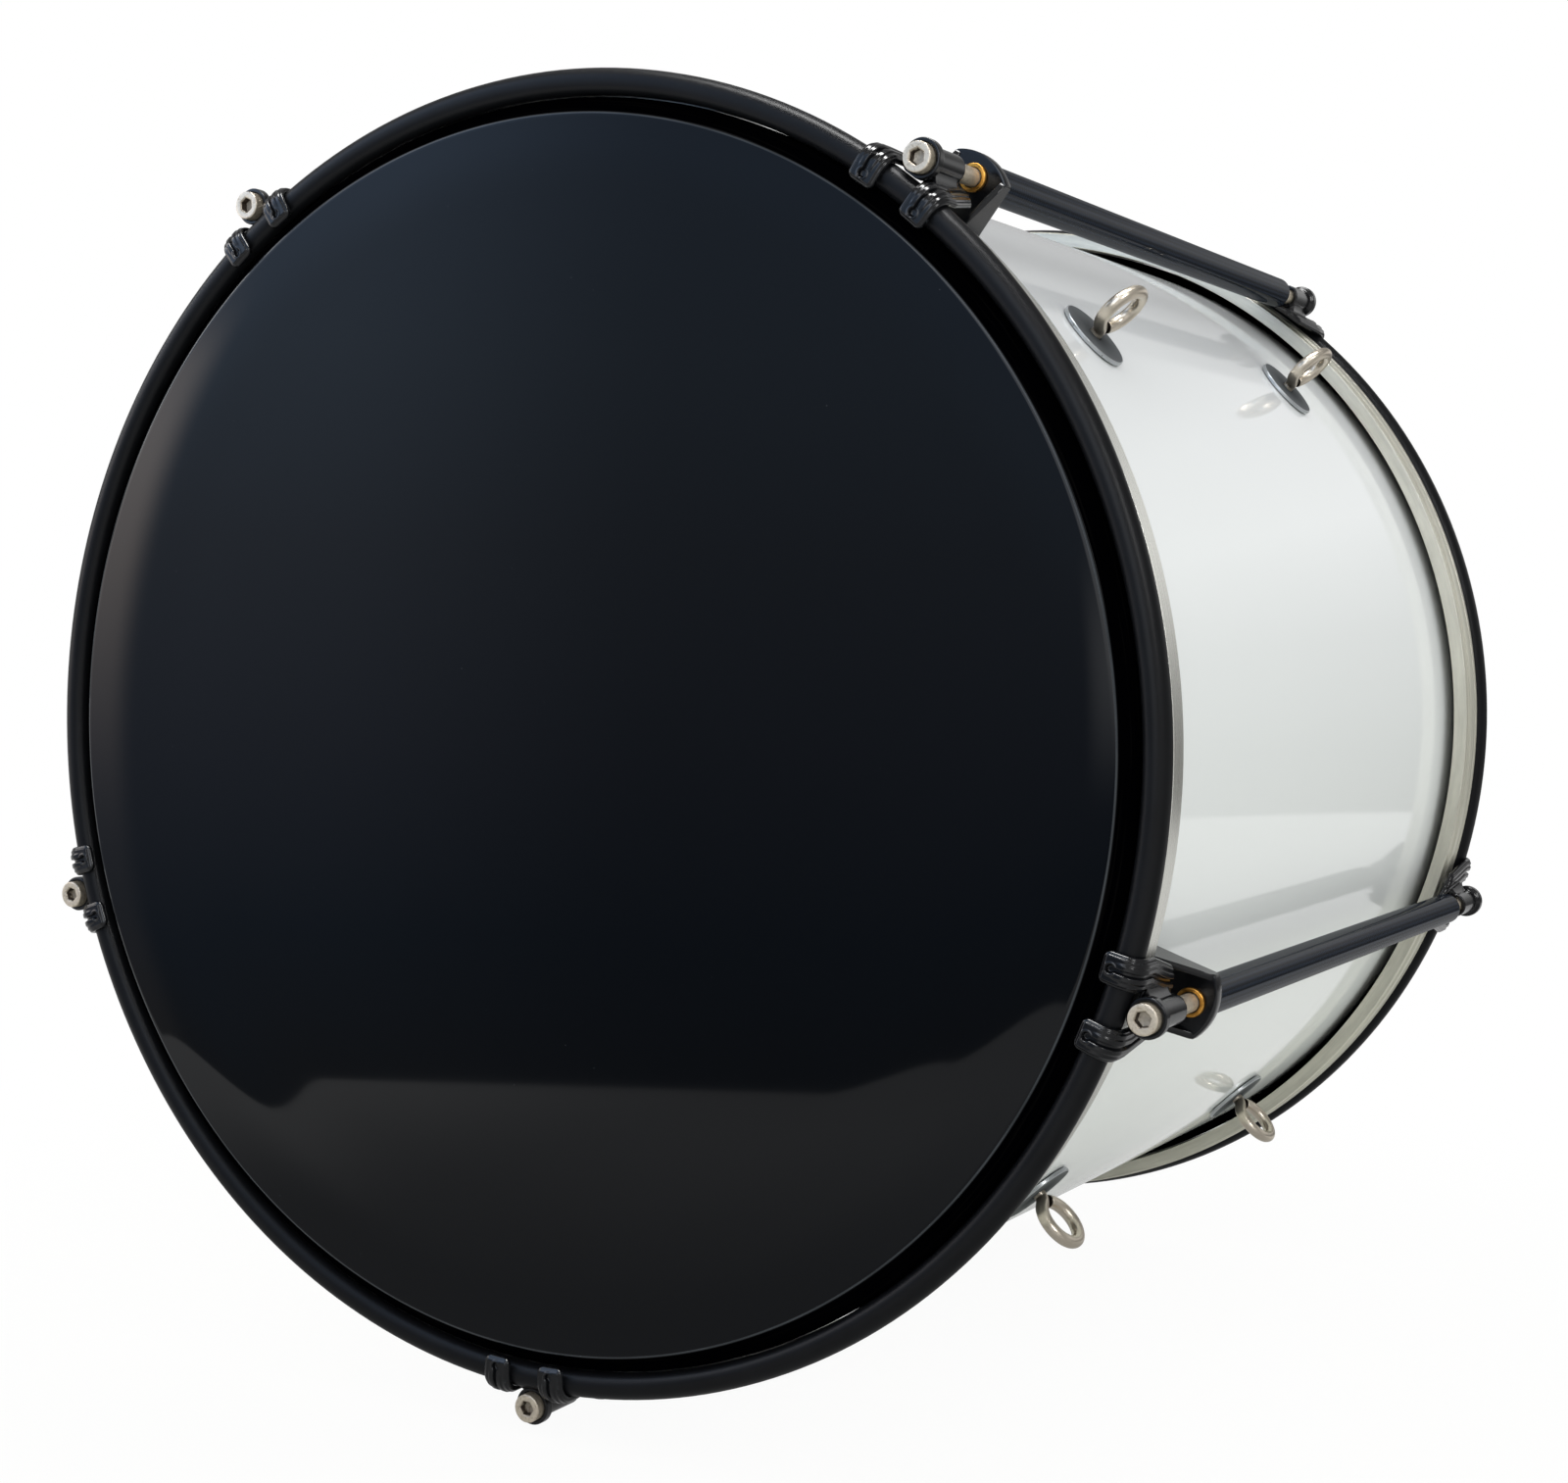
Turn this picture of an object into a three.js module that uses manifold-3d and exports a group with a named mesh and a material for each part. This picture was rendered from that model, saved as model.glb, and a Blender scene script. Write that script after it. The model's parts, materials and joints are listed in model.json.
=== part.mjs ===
// Marching bass drum, 22 in across by 20 in deep, worn with its axis level.
// Millimetres. The origin is the drum's centre on its axis. -Y is the front head, +X faces the
// player and carries the harness eyes, +Z is up.
import * as THREE from "three";
import { mergeVertices } from "three/addons/utils/BufferGeometryUtils.js";
import Module from "manifold-3d";

const wasm = await Module();
wasm.setup();

// Counts, angles and shares
const ROUND_STEPS = 50;
const TUBE_STEPS = 8;
const SMALL_STEPS = 12;
const INNER_BEND_STEPS = 2;
const OUTER_BEND_STEPS = 3;
const WASHER_STEPS = 14;
const LUG_COUNT = 5;
const FIRST_LUG_DEG = -90;
const LUG_STEP_DEG = 360 / LUG_COUNT;
const HEX_SIDES = 6;
const EYE_UPPER_DEG = 41.6;
const EYE_LOWER_DEG = -45.4;
const EYE_END_DEG = -74;
const EYE_LEAVE_DEG = 235;
const EYE_RING_POINTS = 9;
const EYE_PATH_STEPS = 18;
const EYE_ROD_STEPS = 8;
const NOSE_WALL_SHARE = 0.55;

// Sizes that drive the drum
const SHELL_OUTER_D = 558.8;
const DRUM_DEPTH = 508;
const SHELL_WALL = 7;
const FILM_THICKNESS = 0.6;
const HOOP_TUBE_D = 12;
const FLESH_RING_WIDTH = 8.3;
const FLESH_RING_DEPTH = 19;
const SCREW_D = 8;
const SCREW_HEAD_D = 13;
const SCREW_HEAD_LENGTH = 8;
const SCREW_LENGTH = 64;
const HEX_KEY = 6;
const SOCKET_DEPTH = 4;
const BUSH_WALL = 1.1;
const LUG_TUBE_WALL = 2.2;
const EYE_ROD_D = 6;
const EYE_RING_MEAN_D = 22;
const EYE_SPACING = 267;
const EYE_RING_RISE = 17.6;
const EYE_WASHER_D = 35;
const EYE_WASHER_THICKNESS = 1.8;

// Clearances: seat is left between pieces that touch
const SEAT = 0.3;
const BORE_CLEARANCE = 0.4;
const FLESH_SHELL_GAP = 5.3;

// Shell's bearing edge
const CROWN_INSET = 3.4;
const CROWN_RISE = 3;

// Film
const COLLAR_DROP = 7;
const COLLAR_SKIRT = 9;
const COLLAR_WALL = 0.7;

// How far the hoop tube's middle is behind the film
const HOOP_BEHIND_FILM = 7.2;

// Flesh ring's bands
const RING_LOWER_BAND = 5.4;
const RING_LOWER_STEP = 1.1;
const RING_CHAMFER = 0.8;

// Claw
const STRAP = 3.7;
const CLAW_HALF_GAP = 7.8;
const CLAW_ARM_WIDTH = 14;
const CLAW_TIP_REACH = 8;
const CLAW_TIP_CHAMFER = 1.2;
const GROOVE_WIDTH = 3.2;
const GROOVE_DEPTH = 0.8;
const GROOVE_FROM_TIP = 3.8;
const ARM_RUN = 11;
const TAIL_ROOT_HALF = 21.6;
const TAIL_END_HALF = 15.6;
const TAIL_TIP_HALF = 3;
const TAIL_LENGTH = 24;
const TAIL_POINT = 7;
const BOSS_WALL = 2;
const BOSS_LENGTH = 29;
const FLANGE_WALL = 1.7;
const SCREW_CHAMFER = 0.6;
const FLANGE_LENGTH = 4.8;
const FLANGE_BACK_WALL = 1;
const HEAD_SINK = 4;
const FLANGE_BEHIND_HOOP = 5.3;

// Bush, insert and lug
const BUSH_FLANGE_OVER = 0.8;
const BUSH_FLANGE = 1.8;
const BUSH_CHAMFER = 0.7;
const BUSH_GRIP = 15;
const INSERT_LIP = 0.6;
const INSERT_GRIP = 16;
const LUG_NOSE_LENGTH = 3;
const BOSS_TO_BUSH = 19;
const BOSS_TO_TUBE_REAR = 15;

// Bracket
const PLATE = 6;
const BRACKET_WIDTH = 29;
const GUSSET = 2.8;
const BRACKET_RIM = 2.6;
const BRACKET_CORNER = 5;
const GUSSET_FOOT = 15.5;
const GUSSET_WAIST = 10.5;
const GUSSET_WAIST_RISE = 11.5;

// Eyes
const EYE_INNER_REACH = 17;
const EYE_NECK = 1.2;
const EYE_NUT_WIDTH = 10;
const EYE_NUT_HEIGHT = 5;
const EYE_NUT_FLANGE_D = 16;
const EYE_NUT_FLANGE = 1.5;

// Positions that follow from the sizes
const SHELL_R = SHELL_OUTER_D / 2;
const HEAD_Y = DRUM_DEPTH / 2;
const CROWN_R = SHELL_R - CROWN_INSET;
const FLESH_IN_R = SHELL_R + FLESH_SHELL_GAP;
const FLESH_OUT_R = FLESH_IN_R + FLESH_RING_WIDTH;
const HOOP_TUBE_R = HOOP_TUBE_D / 2;
const HOOP_R = FLESH_IN_R + HOOP_TUBE_R;
const HOOP_OUT_R = HOOP_R + HOOP_TUBE_R;
const HOOP_Y = HEAD_Y - HOOP_BEHIND_FILM;
const FLESH_FRONT_Y = HOOP_Y - HOOP_TUBE_R - SEAT;
const SCREW_R = SCREW_D / 2;
const SCREW_HEAD_R = SCREW_HEAD_D / 2;
const BORE_R = SCREW_R + BORE_CLEARANCE;
const SINK_R = SCREW_HEAD_R + BORE_CLEARANCE;
const STRAP_IN_R = HOOP_OUT_R + SEAT;
const SCREW_AXIS_R = STRAP_IN_R + FLANGE_BACK_WALL + SINK_R;
const FLANGE_FRONT_Y = HOOP_Y + HOOP_TUBE_R - FLANGE_BEHIND_HOOP;
const SINK_FLOOR_Y = FLANGE_FRONT_Y - HEAD_SINK;
const HEAD_UNDER_Y = SINK_FLOOR_Y + SEAT;
const BOSS_END_Y = FLANGE_FRONT_Y - BOSS_LENGTH;
const BUSH_FACE_Y = BOSS_END_Y - BOSS_TO_BUSH;
const PLATE_FRONT_Y = BUSH_FACE_Y - BUSH_FLANGE - SEAT;
const PLATE_REAR_Y = PLATE_FRONT_Y - PLATE;
const TUBE_FRONT_Y = PLATE_REAR_Y - SEAT;
const TUBE_REAR_Y = BOSS_END_Y - BOSS_TO_TUBE_REAR;
const BUSH_BODY_R = BORE_R + BUSH_WALL;
const TUBE_BORE_R = BUSH_BODY_R + SEAT;
const LUG_TUBE_R = TUBE_BORE_R + LUG_TUBE_WALL;
const EYE_ROD_R = EYE_ROD_D / 2;
const WASHER_UNDER_R = SHELL_R + SEAT;
const EYE_CENTRE_R = SHELL_R + EYE_RING_RISE;
const SHELL_IN_R = SHELL_R - SHELL_WALL;
const CLAW_TAIL_Y = HOOP_Y - HOOP_TUBE_R;
const EYES = [
  { name: "upper_front", deg: EYE_UPPER_DEG, y: -EYE_SPACING / 2 },
  { name: "upper_rear", deg: EYE_UPPER_DEG, y: EYE_SPACING / 2 },
  { name: "lower_front", deg: EYE_LOWER_DEG, y: -EYE_SPACING / 2 },
  { name: "lower_rear", deg: EYE_LOWER_DEG, y: EYE_SPACING / 2 },
];

const rad = (deg) => (deg * Math.PI) / 180;

// A closed three.js geometry as a solid for joining and cutting. Triangles with no area at a
// lathe's poles are left out.
function solid(geometry) {
  const bare = geometry.index ? geometry.toNonIndexed() : geometry.clone();
  bare.deleteAttribute("normal");
  bare.deleteAttribute("uv");
  const merged = mergeVertices(bare);
  const index = merged.index.array;
  const kept = [];
  for (let i = 0; i < index.length; i += 3) {
    const [a, b, c] = [index[i], index[i + 1], index[i + 2]];
    if (a !== b && b !== c && c !== a) kept.push(a, b, c);
  }
  const vertProperties = merged.attributes.position.array;
  const triVerts = new Uint32Array(kept);
  return new wasm.Manifold(new wasm.Mesh({ numProp: 3, vertProperties, triVerts }));
}

// The solid back as a geometry with flat faces.
function geometryOf(body) {
  const mesh = body.getMesh();
  const geometry = new THREE.BufferGeometry();
  geometry.setAttribute("position", new THREE.BufferAttribute(mesh.vertProperties, 3));
  geometry.setIndex(new THREE.BufferAttribute(mesh.triVerts, 1));
  const flat = geometry.toNonIndexed();
  flat.computeVertexNormals();
  return flat;
}

// A ring or round piece about the Y axis. The profile holds [radius, y] pairs, listed so that the
// outer side runs towards +Y.
function turned(profile, steps) {
  const points = profile.map(([r, y]) => new THREE.Vector2(r, y));
  return new THREE.LatheGeometry([...points, points[0]], steps);
}

// A flat outline in X and Y, given thickness along Z and centred on Z = 0.
function slab(outline, thickness) {
  const shape = new THREE.Shape(outline.map(([x, y]) => new THREE.Vector2(x, y)));
  const geometry = new THREE.ExtrudeGeometry(shape, { depth: thickness, bevelEnabled: false });
  return geometry.translate(0, 0, -thickness / 2);
}

// Points of an arc as [x, y] pairs, both ends included.
function arc(cx, cy, r, fromDeg, toDeg, steps) {
  const points = [];
  for (let i = 0; i <= steps; i += 1) {
    const a = rad(fromDeg + ((toDeg - fromDeg) * i) / steps);
    points.push([cx + r * Math.cos(a), cy + r * Math.sin(a)]);
  }
  return points;
}

// A solid rod along Y between two heights, at a radius from the drum's axis.
function rod(r, y0, y1, at, steps) {
  const profile = [
    [0, y0],
    [r, y0],
    [r, y1],
    [0, y1],
  ];
  return solid(turned(profile, steps).translate(at, 0, 0));
}

// The drum's front pieces are drawn at +Y and at angle zero (+X). place() turns them to their
// angle about the drum's axis. Front pieces are also turned over, end for end.
function place(mesh, deg, front) {
  mesh.rotation.set(front ? Math.PI : 0, rad(-deg), 0, "YXZ");
  return mesh;
}

// Shell: a tube whose ends are cut at 45 degrees inside and eased outside, with four eye holes.
function shellSolid() {
  const crownY = HEAD_Y - FILM_THICKNESS - SEAT;
  const cut = CROWN_R - SHELL_IN_R;
  const half = [
    [SHELL_R, crownY - CROWN_RISE],
    [CROWN_R, crownY],
    [SHELL_IN_R, crownY - cut],
  ];
  const lower = half.map(([r, y]) => [r, -y]).reverse();
  let body = solid(turned([...lower, ...half], ROUND_STEPS));
  for (const eye of EYES) body = body.subtract(solid(eyeHole(eye)));
  return body;
}

// The hole that an eye's shank goes through.
function eyeHole(eye) {
  const from = SHELL_R - SHELL_WALL - SHELL_WALL;
  return peg(EYE_ROD_R + BORE_CLEARANCE, from, SHELL_R + SHELL_WALL, SMALL_STEPS)
    .translate(0, eye.y, 0)
    .rotateY(rad(-eye.deg));
}

// A round peg along X between two distances from the drum's axis.
function peg(r, x0, x1, steps) {
  const profile = [
    [0, x0],
    [r, x0],
    [r, x1],
    [0, x1],
  ];
  return turned(profile, steps).rotateZ(rad(-90));
}

// Head: the flat playing film, its rounded collar, and the skirt inside the flesh ring.
function headSolid() {
  const under = HEAD_Y - FILM_THICKNESS;
  const flatR = CROWN_R + FILM_THICKNESS;
  const skirtR = FLESH_IN_R - SEAT;
  const foldY = HEAD_Y - COLLAR_DROP;
  return solid(
    turned(
      [
        [0, under],
        [CROWN_R + SEAT, under],
        [skirtR - COLLAR_WALL, foldY - SEAT],
        [skirtR - COLLAR_WALL, foldY - COLLAR_SKIRT],
        [skirtR, foldY - COLLAR_SKIRT],
        [skirtR, foldY],
        [flatR, HEAD_Y],
        [0, HEAD_Y],
      ],
      ROUND_STEPS,
    ),
  );
}

// Flesh ring: a wide band with an eased front edge, and a lower band behind it.
function fleshRingSolid() {
  const rearY = FLESH_FRONT_Y - FLESH_RING_DEPTH;
  const lowR = FLESH_OUT_R - RING_LOWER_STEP;
  return solid(
    turned(
      [
        [FLESH_IN_R, rearY],
        [lowR, rearY],
        [lowR, rearY + RING_LOWER_BAND],
        [FLESH_OUT_R, rearY + RING_LOWER_BAND + RING_LOWER_STEP],
        [FLESH_OUT_R, FLESH_FRONT_Y - RING_CHAMFER],
        [FLESH_OUT_R - RING_CHAMFER, FLESH_FRONT_Y],
        [FLESH_IN_R, FLESH_FRONT_Y],
      ],
      ROUND_STEPS,
    ),
  );
}

// Counterhoop: a round tube bent to a circle.
function hoopSolid() {
  const circle = arc(HOOP_R, HOOP_Y, HOOP_TUBE_R, 0, 360, TUBE_STEPS).slice(0, -1);
  return solid(turned(circle, ROUND_STEPS));
}

// One arm of a claw, in its own radial plane: a strap over the hoop with a chamfered tip and a
// groove round its outside that leaves two ribs.
function clawArm() {
  const inner = HOOP_TUBE_R + SEAT;
  const outer = inner + STRAP;
  const tipR = HOOP_R - CLAW_TIP_REACH;
  const rootY = CLAW_TAIL_Y - ARM_RUN;
  const faceY = HOOP_Y + outer;
  const arm = solid(
    slab(
      [
        [tipR, HOOP_Y + inner],
        ...arc(HOOP_R, HOOP_Y, inner, 90, 0, INNER_BEND_STEPS),
        [HOOP_R + inner, rootY],
        [HOOP_R + outer, rootY],
        ...arc(HOOP_R, HOOP_Y, outer, 0, 90, OUTER_BEND_STEPS),
        [tipR + CLAW_TIP_CHAMFER, faceY],
        [tipR, faceY - CLAW_TIP_CHAMFER],
      ],
      CLAW_ARM_WIDTH,
    ),
  );
  const startR = tipR + GROOVE_FROM_TIP;
  const groove = slab(
    [
      [startR, faceY + GROOVE_DEPTH],
      [startR, faceY - GROOVE_DEPTH],
      ...arc(HOOP_R, HOOP_Y, outer - GROOVE_DEPTH, 90, 0, OUTER_BEND_STEPS),
      [HOOP_R + outer - GROOVE_DEPTH, rootY + GROOVE_WIDTH],
      [HOOP_R + outer + GROOVE_DEPTH, rootY + GROOVE_WIDTH],
      ...arc(HOOP_R, HOOP_Y, outer + GROOVE_DEPTH, 0, 90, OUTER_BEND_STEPS),
    ],
    GROOVE_WIDTH,
  );
  return arm.subtract(solid(groove));
}

// A solid turned about the drum's axis.
function turnedBy(body, deg) {
  return solid(geometryOf(body).rotateY(rad(-deg)));
}

// The claw's tail: a plate that narrows to a blunt point behind the flesh ring's front edge.
function clawTail() {
  const endY = CLAW_TAIL_Y - TAIL_LENGTH;
  const tipY = endY - TAIL_POINT;
  const outline = [
    [-TAIL_ROOT_HALF, CLAW_TAIL_Y],
    [-TAIL_END_HALF, endY],
    [-TAIL_TIP_HALF, tipY],
    [TAIL_TIP_HALF, tipY],
    [TAIL_END_HALF, endY],
    [TAIL_ROOT_HALF, CLAW_TAIL_Y],
  ];
  const plate = slab(outline, STRAP).rotateY(rad(90));
  return solid(plate.translate(STRAP_IN_R + STRAP / 2, 0, 0));
}

// The boss that the screw goes through, with a flange whose back is flat against the hoop.
function clawBoss() {
  const bossR = BORE_R + BOSS_WALL;
  const flangeR = SINK_R + FLANGE_WALL;
  const flangeRearY = FLANGE_FRONT_Y - FLANGE_LENGTH;
  const profile = [
    [0, BOSS_END_Y],
    [bossR, BOSS_END_Y],
    [bossR, flangeRearY],
    [flangeR, flangeRearY + BUSH_CHAMFER],
    [flangeR, FLANGE_FRONT_Y],
    [0, FLANGE_FRONT_Y],
  ];
  const boss = solid(turned(profile, SMALL_STEPS).translate(SCREW_AXIS_R, 0, 0));
  const back = [
    [STRAP_IN_R - flangeR, BOSS_END_Y],
    [STRAP_IN_R, BOSS_END_Y],
    [STRAP_IN_R, FLANGE_FRONT_Y + FLANGE_LENGTH],
    [STRAP_IN_R - flangeR, FLANGE_FRONT_Y + FLANGE_LENGTH],
  ];
  return boss.subtract(solid(slab(back, flangeR + flangeR)));
}

// Claw: two arms, tail and boss in one casting, bored for the screw with a sunk seat for its head.
function clawSolid() {
  const armDeg = Math.atan2(CLAW_HALF_GAP + CLAW_ARM_WIDTH / 2, HOOP_R) / rad(1);
  const arm = clawArm();
  const body = turnedBy(arm, armDeg)
    .add(turnedBy(arm, -armDeg))
    .add(clawTail())
    .add(clawBoss());
  const over = FLANGE_LENGTH;
  const bore = rod(BORE_R, BOSS_END_Y - over, FLANGE_FRONT_Y, SCREW_AXIS_R, SMALL_STEPS);
  const sink = rod(SINK_R, SINK_FLOOR_Y, FLANGE_FRONT_Y + over, SCREW_AXIS_R, SMALL_STEPS);
  return body.subtract(bore).subtract(sink);
}

// Tension screw: a cap head with a hexagon socket and a plain round shank.
function screwSolid() {
  const faceY = HEAD_UNDER_Y + SCREW_HEAD_LENGTH;
  const tipY = HEAD_UNDER_Y - SCREW_LENGTH;
  const profile = [
    [0, tipY],
    [SCREW_R, tipY],
    [SCREW_R, HEAD_UNDER_Y],
    [SCREW_HEAD_R, HEAD_UNDER_Y],
    [SCREW_HEAD_R, faceY - SCREW_CHAMFER],
    [SCREW_HEAD_R - SCREW_CHAMFER, faceY],
    [0, faceY],
  ];
  const screw = solid(turned(profile, SMALL_STEPS).translate(SCREW_AXIS_R, 0, 0));
  const cornerR = HEX_KEY / 2 / Math.cos(rad(180 / HEX_SIDES));
  const socketY = faceY - SOCKET_DEPTH;
  return screw.subtract(rod(cornerR, socketY, faceY + SOCKET_DEPTH, SCREW_AXIS_R, HEX_SIDES));
}

// Lug tube: hollow, from the bracket almost to the rear claw, with a coned rear end.
function lugTubeSolid() {
  const nose = LUG_TUBE_WALL * NOSE_WALL_SHARE;
  const profile = [
    [TUBE_BORE_R, -TUBE_FRONT_Y],
    [LUG_TUBE_R, -TUBE_FRONT_Y],
    [LUG_TUBE_R, TUBE_REAR_Y - LUG_NOSE_LENGTH],
    [LUG_TUBE_R - nose, TUBE_REAR_Y],
    [TUBE_BORE_R, TUBE_REAR_Y],
  ];
  return solid(turned(profile, SMALL_STEPS).translate(SCREW_AXIS_R, 0, 0));
}

// Front bush: a flange on the bracket's face and a body through it into the tube.
function bushSolid() {
  const flangeR = BUSH_BODY_R + BUSH_FLANGE_OVER;
  const underY = BUSH_FACE_Y - BUSH_FLANGE;
  const endY = TUBE_FRONT_Y - BUSH_GRIP;
  const profile = [
    [BORE_R, endY],
    [BUSH_BODY_R, endY],
    [BUSH_BODY_R, underY],
    [flangeR, underY],
    [flangeR, BUSH_FACE_Y - BUSH_CHAMFER],
    [flangeR - BUSH_CHAMFER, BUSH_FACE_Y],
    [BORE_R, BUSH_FACE_Y],
  ];
  return solid(turned(profile, SMALL_STEPS).translate(SCREW_AXIS_R, 0, 0));
}

// Rear insert: a threaded sleeve in the tube's rear end, just proud of it.
function insertSolid() {
  const profile = [
    [BORE_R, TUBE_REAR_Y - INSERT_GRIP],
    [BUSH_BODY_R, TUBE_REAR_Y - INSERT_GRIP],
    [BUSH_BODY_R, TUBE_REAR_Y + INSERT_LIP],
    [BORE_R, TUBE_REAR_Y + INSERT_LIP],
  ];
  return solid(turned(profile, SMALL_STEPS).translate(SCREW_AXIS_R, 0, 0));
}

// Bracket: an upright plate on the shell with a crowned outer edge and two side gussets that
// reach forward, and a hole for the bush.
function bracketSolid() {
  const half = BRACKET_WIDTH / 2;
  const footR = SHELL_R + SEAT;
  const crestR = SCREW_AXIS_R + LUG_TUBE_R + BRACKET_RIM;
  const footDeg = Math.asin(half / footR) / rad(1);
  const cornerR = crestR - BRACKET_CORNER;
  const shoulderR = crestR - BRACKET_CORNER / 4;
  const outline = [
    ...arc(0, 0, footR, -footDeg, footDeg, 2),
    [cornerR, half],
    [shoulderR, half / 2],
    [crestR, 0],
    [shoulderR, -half / 2],
    [cornerR, -half],
  ];
  const plate = slab(outline, PLATE).rotateX(rad(-90));
  plate.translate(0, (PLATE_FRONT_Y + PLATE_REAR_Y) / 2, 0);
  const side = [
    [footR, PLATE_REAR_Y],
    [cornerR, PLATE_REAR_Y],
    [cornerR, PLATE_FRONT_Y],
    [footR + GUSSET_WAIST_RISE, PLATE_FRONT_Y + GUSSET_WAIST],
    [footR, PLATE_FRONT_Y + GUSSET_FOOT],
  ];
  let body = solid(plate);
  for (const way of [-1, 1]) {
    const gusset = slab(side, GUSSET).translate(0, 0, way * (half - GUSSET / 2));
    body = body.add(solid(gusset));
  }
  const hole = BUSH_BODY_R + SEAT;
  return body.subtract(
    rod(hole, PLATE_REAR_Y - PLATE, PLATE_FRONT_Y + PLATE, SCREW_AXIS_R, SMALL_STEPS),
  );
}

// Eye bolt: a rod that comes up through the shell, leans to the front, goes round in a ring and
// stops with its cut end beside the shank, on the rear side.
function eyeSolid() {
  const ringR = EYE_RING_MEAN_D / 2;
  const points = [
    new THREE.Vector3(SHELL_R - EYE_INNER_REACH, 0, 0),
    new THREE.Vector3(SHELL_R - SHELL_WALL, 0, 0),
    new THREE.Vector3(WASHER_UNDER_R, 0, 0),
    new THREE.Vector3(WASHER_UNDER_R + EYE_WASHER_THICKNESS + EYE_NECK, 0, 0),
  ];
  for (let i = 0; i <= EYE_RING_POINTS; i += 1) {
    const a = rad(EYE_LEAVE_DEG + ((EYE_END_DEG - EYE_LEAVE_DEG) * i) / EYE_RING_POINTS);
    points.push(
      new THREE.Vector3(EYE_CENTRE_R + ringR * Math.sin(a), ringR * Math.cos(a), 0),
    );
  }
  const circle = arc(0, 0, EYE_ROD_R, 0, 360, EYE_ROD_STEPS).slice(0, -1);
  const section = new THREE.Shape(circle.map(([x, y]) => new THREE.Vector2(x, y)));
  const extrudePath = new THREE.CatmullRomCurve3(points);
  return solid(
    new THREE.ExtrudeGeometry(section, { steps: EYE_PATH_STEPS, extrudePath }),
  );
}

// The flat washer under an eye, outside the shell.
function eyeWasherSolid() {
  const holeR = EYE_ROD_R + BORE_CLEARANCE;
  const topR = WASHER_UNDER_R + EYE_WASHER_THICKNESS;
  const profile = [
    [holeR, WASHER_UNDER_R],
    [EYE_WASHER_D / 2, WASHER_UNDER_R],
    [EYE_WASHER_D / 2, topR],
    [holeR, topR],
  ];
  return solid(turned(profile, WASHER_STEPS).rotateZ(rad(-90)));
}

// The flanged hexagon nut on the eye's shank, inside the shell.
function eyeNutSolid() {
  const flangeR = EYE_NUT_FLANGE_D / 2;
  const wallR = SHELL_IN_R * Math.cos(rad(180 / ROUND_STEPS));
  const topR = Math.sqrt(wallR * wallR - flangeR * flangeR) - SEAT;
  const hexTopR = topR - EYE_NUT_FLANGE;
  const cornerR = EYE_NUT_WIDTH / 2 / Math.cos(rad(180 / HEX_SIDES));
  const hex = peg(cornerR, hexTopR - EYE_NUT_HEIGHT, topR, HEX_SIDES);
  const flange = peg(flangeR, hexTopR, topR, SMALL_STEPS);
  const hole = peg(
    EYE_ROD_R + BORE_CLEARANCE,
    hexTopR - EYE_NUT_HEIGHT - EYE_NUT_FLANGE,
    topR + EYE_NUT_FLANGE,
    SMALL_STEPS,
  );
  return solid(hex).add(solid(flange)).subtract(solid(hole));
}

const FINISHES = {
  shell_wrap: { color: "#e2e7ea", roughness: 0.22, metalness: 0 },
  head_film: { color: "#1a1e24", roughness: 0.3, metalness: 0 },
  bright_ring: { color: "#c3c6c4", roughness: 0.3, metalness: 1 },
  black_hoop: { color: "#17181b", roughness: 0.45, metalness: 0 },
  black_casting: { color: "#1b1d20", roughness: 0.5, metalness: 0 },
  screw_steel: { color: "#b9b5ab", roughness: 0.25, metalness: 1 },
  woven_tube: { color: "#23262c", roughness: 0.25, metalness: 0 },
  bush_brass: { color: "#c08a3a", roughness: 0.3, metalness: 1 },
  eye_nickel: { color: "#b7ab98", roughness: 0.22, metalness: 1 },
  washer_steel: { color: "#8d9094", roughness: 0.4, metalness: 1 },
};

const drum = new THREE.Group();

// Adds a mesh of its own, with its own material, to the drum.
function addPiece(name, body, slot, deg = 0, front = false) {
  const { color, roughness, metalness } = FINISHES[slot];
  const material = new THREE.MeshStandardMaterial({ color, roughness, metalness });
  const mesh = new THREE.Mesh(geometryOf(body), material);
  mesh.name = name;
  drum.add(place(mesh, deg, front));
  return mesh;
}

addPiece("shell", shellSolid(), "shell_wrap");

const rims = [
  { end: "front", front: true },
  { end: "rear", front: false },
];
const claw = clawSolid();
const screw = screwSolid();
for (const { end, front } of rims) {
  addPiece(`head_${end}`, headSolid(), "head_film", 0, front);
  addPiece(`flesh_ring_${end}`, fleshRingSolid(), "bright_ring", 0, front);
  addPiece(`hoop_${end}`, hoopSolid(), "black_hoop", 0, front);
  for (let i = 0; i < LUG_COUNT; i += 1) {
    const deg = FIRST_LUG_DEG + i * LUG_STEP_DEG;
    addPiece(`claw_${end}_${i + 1}`, claw, "black_casting", deg, front);
    addPiece(`screw_${end}_${i + 1}`, screw, "screw_steel", deg, front);
  }
}

const lugTube = lugTubeSolid();
const bracket = bracketSolid();
const bush = bushSolid();
const insert = insertSolid();
for (let i = 0; i < LUG_COUNT; i += 1) {
  const deg = FIRST_LUG_DEG + i * LUG_STEP_DEG;
  addPiece(`lug_tube_${i + 1}`, lugTube, "woven_tube", deg);
  addPiece(`bracket_${i + 1}`, bracket, "black_casting", deg, true);
  addPiece(`bush_front_${i + 1}`, bush, "bush_brass", deg, true);
  addPiece(`insert_rear_${i + 1}`, insert, "bush_brass", deg);
}

const eye = eyeSolid();
const eyeWasher = eyeWasherSolid();
const eyeNut = eyeNutSolid();
for (const { name, deg, y } of EYES) {
  addPiece(`eye_${name}`, eye, "eye_nickel", deg).position.y = y;
  addPiece(`eye_washer_${name}`, eyeWasher, "washer_steel", deg).position.y = y;
  addPiece(`eye_nut_${name}`, eyeNut, "washer_steel", deg).position.y = y;
}

export default drum;
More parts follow.
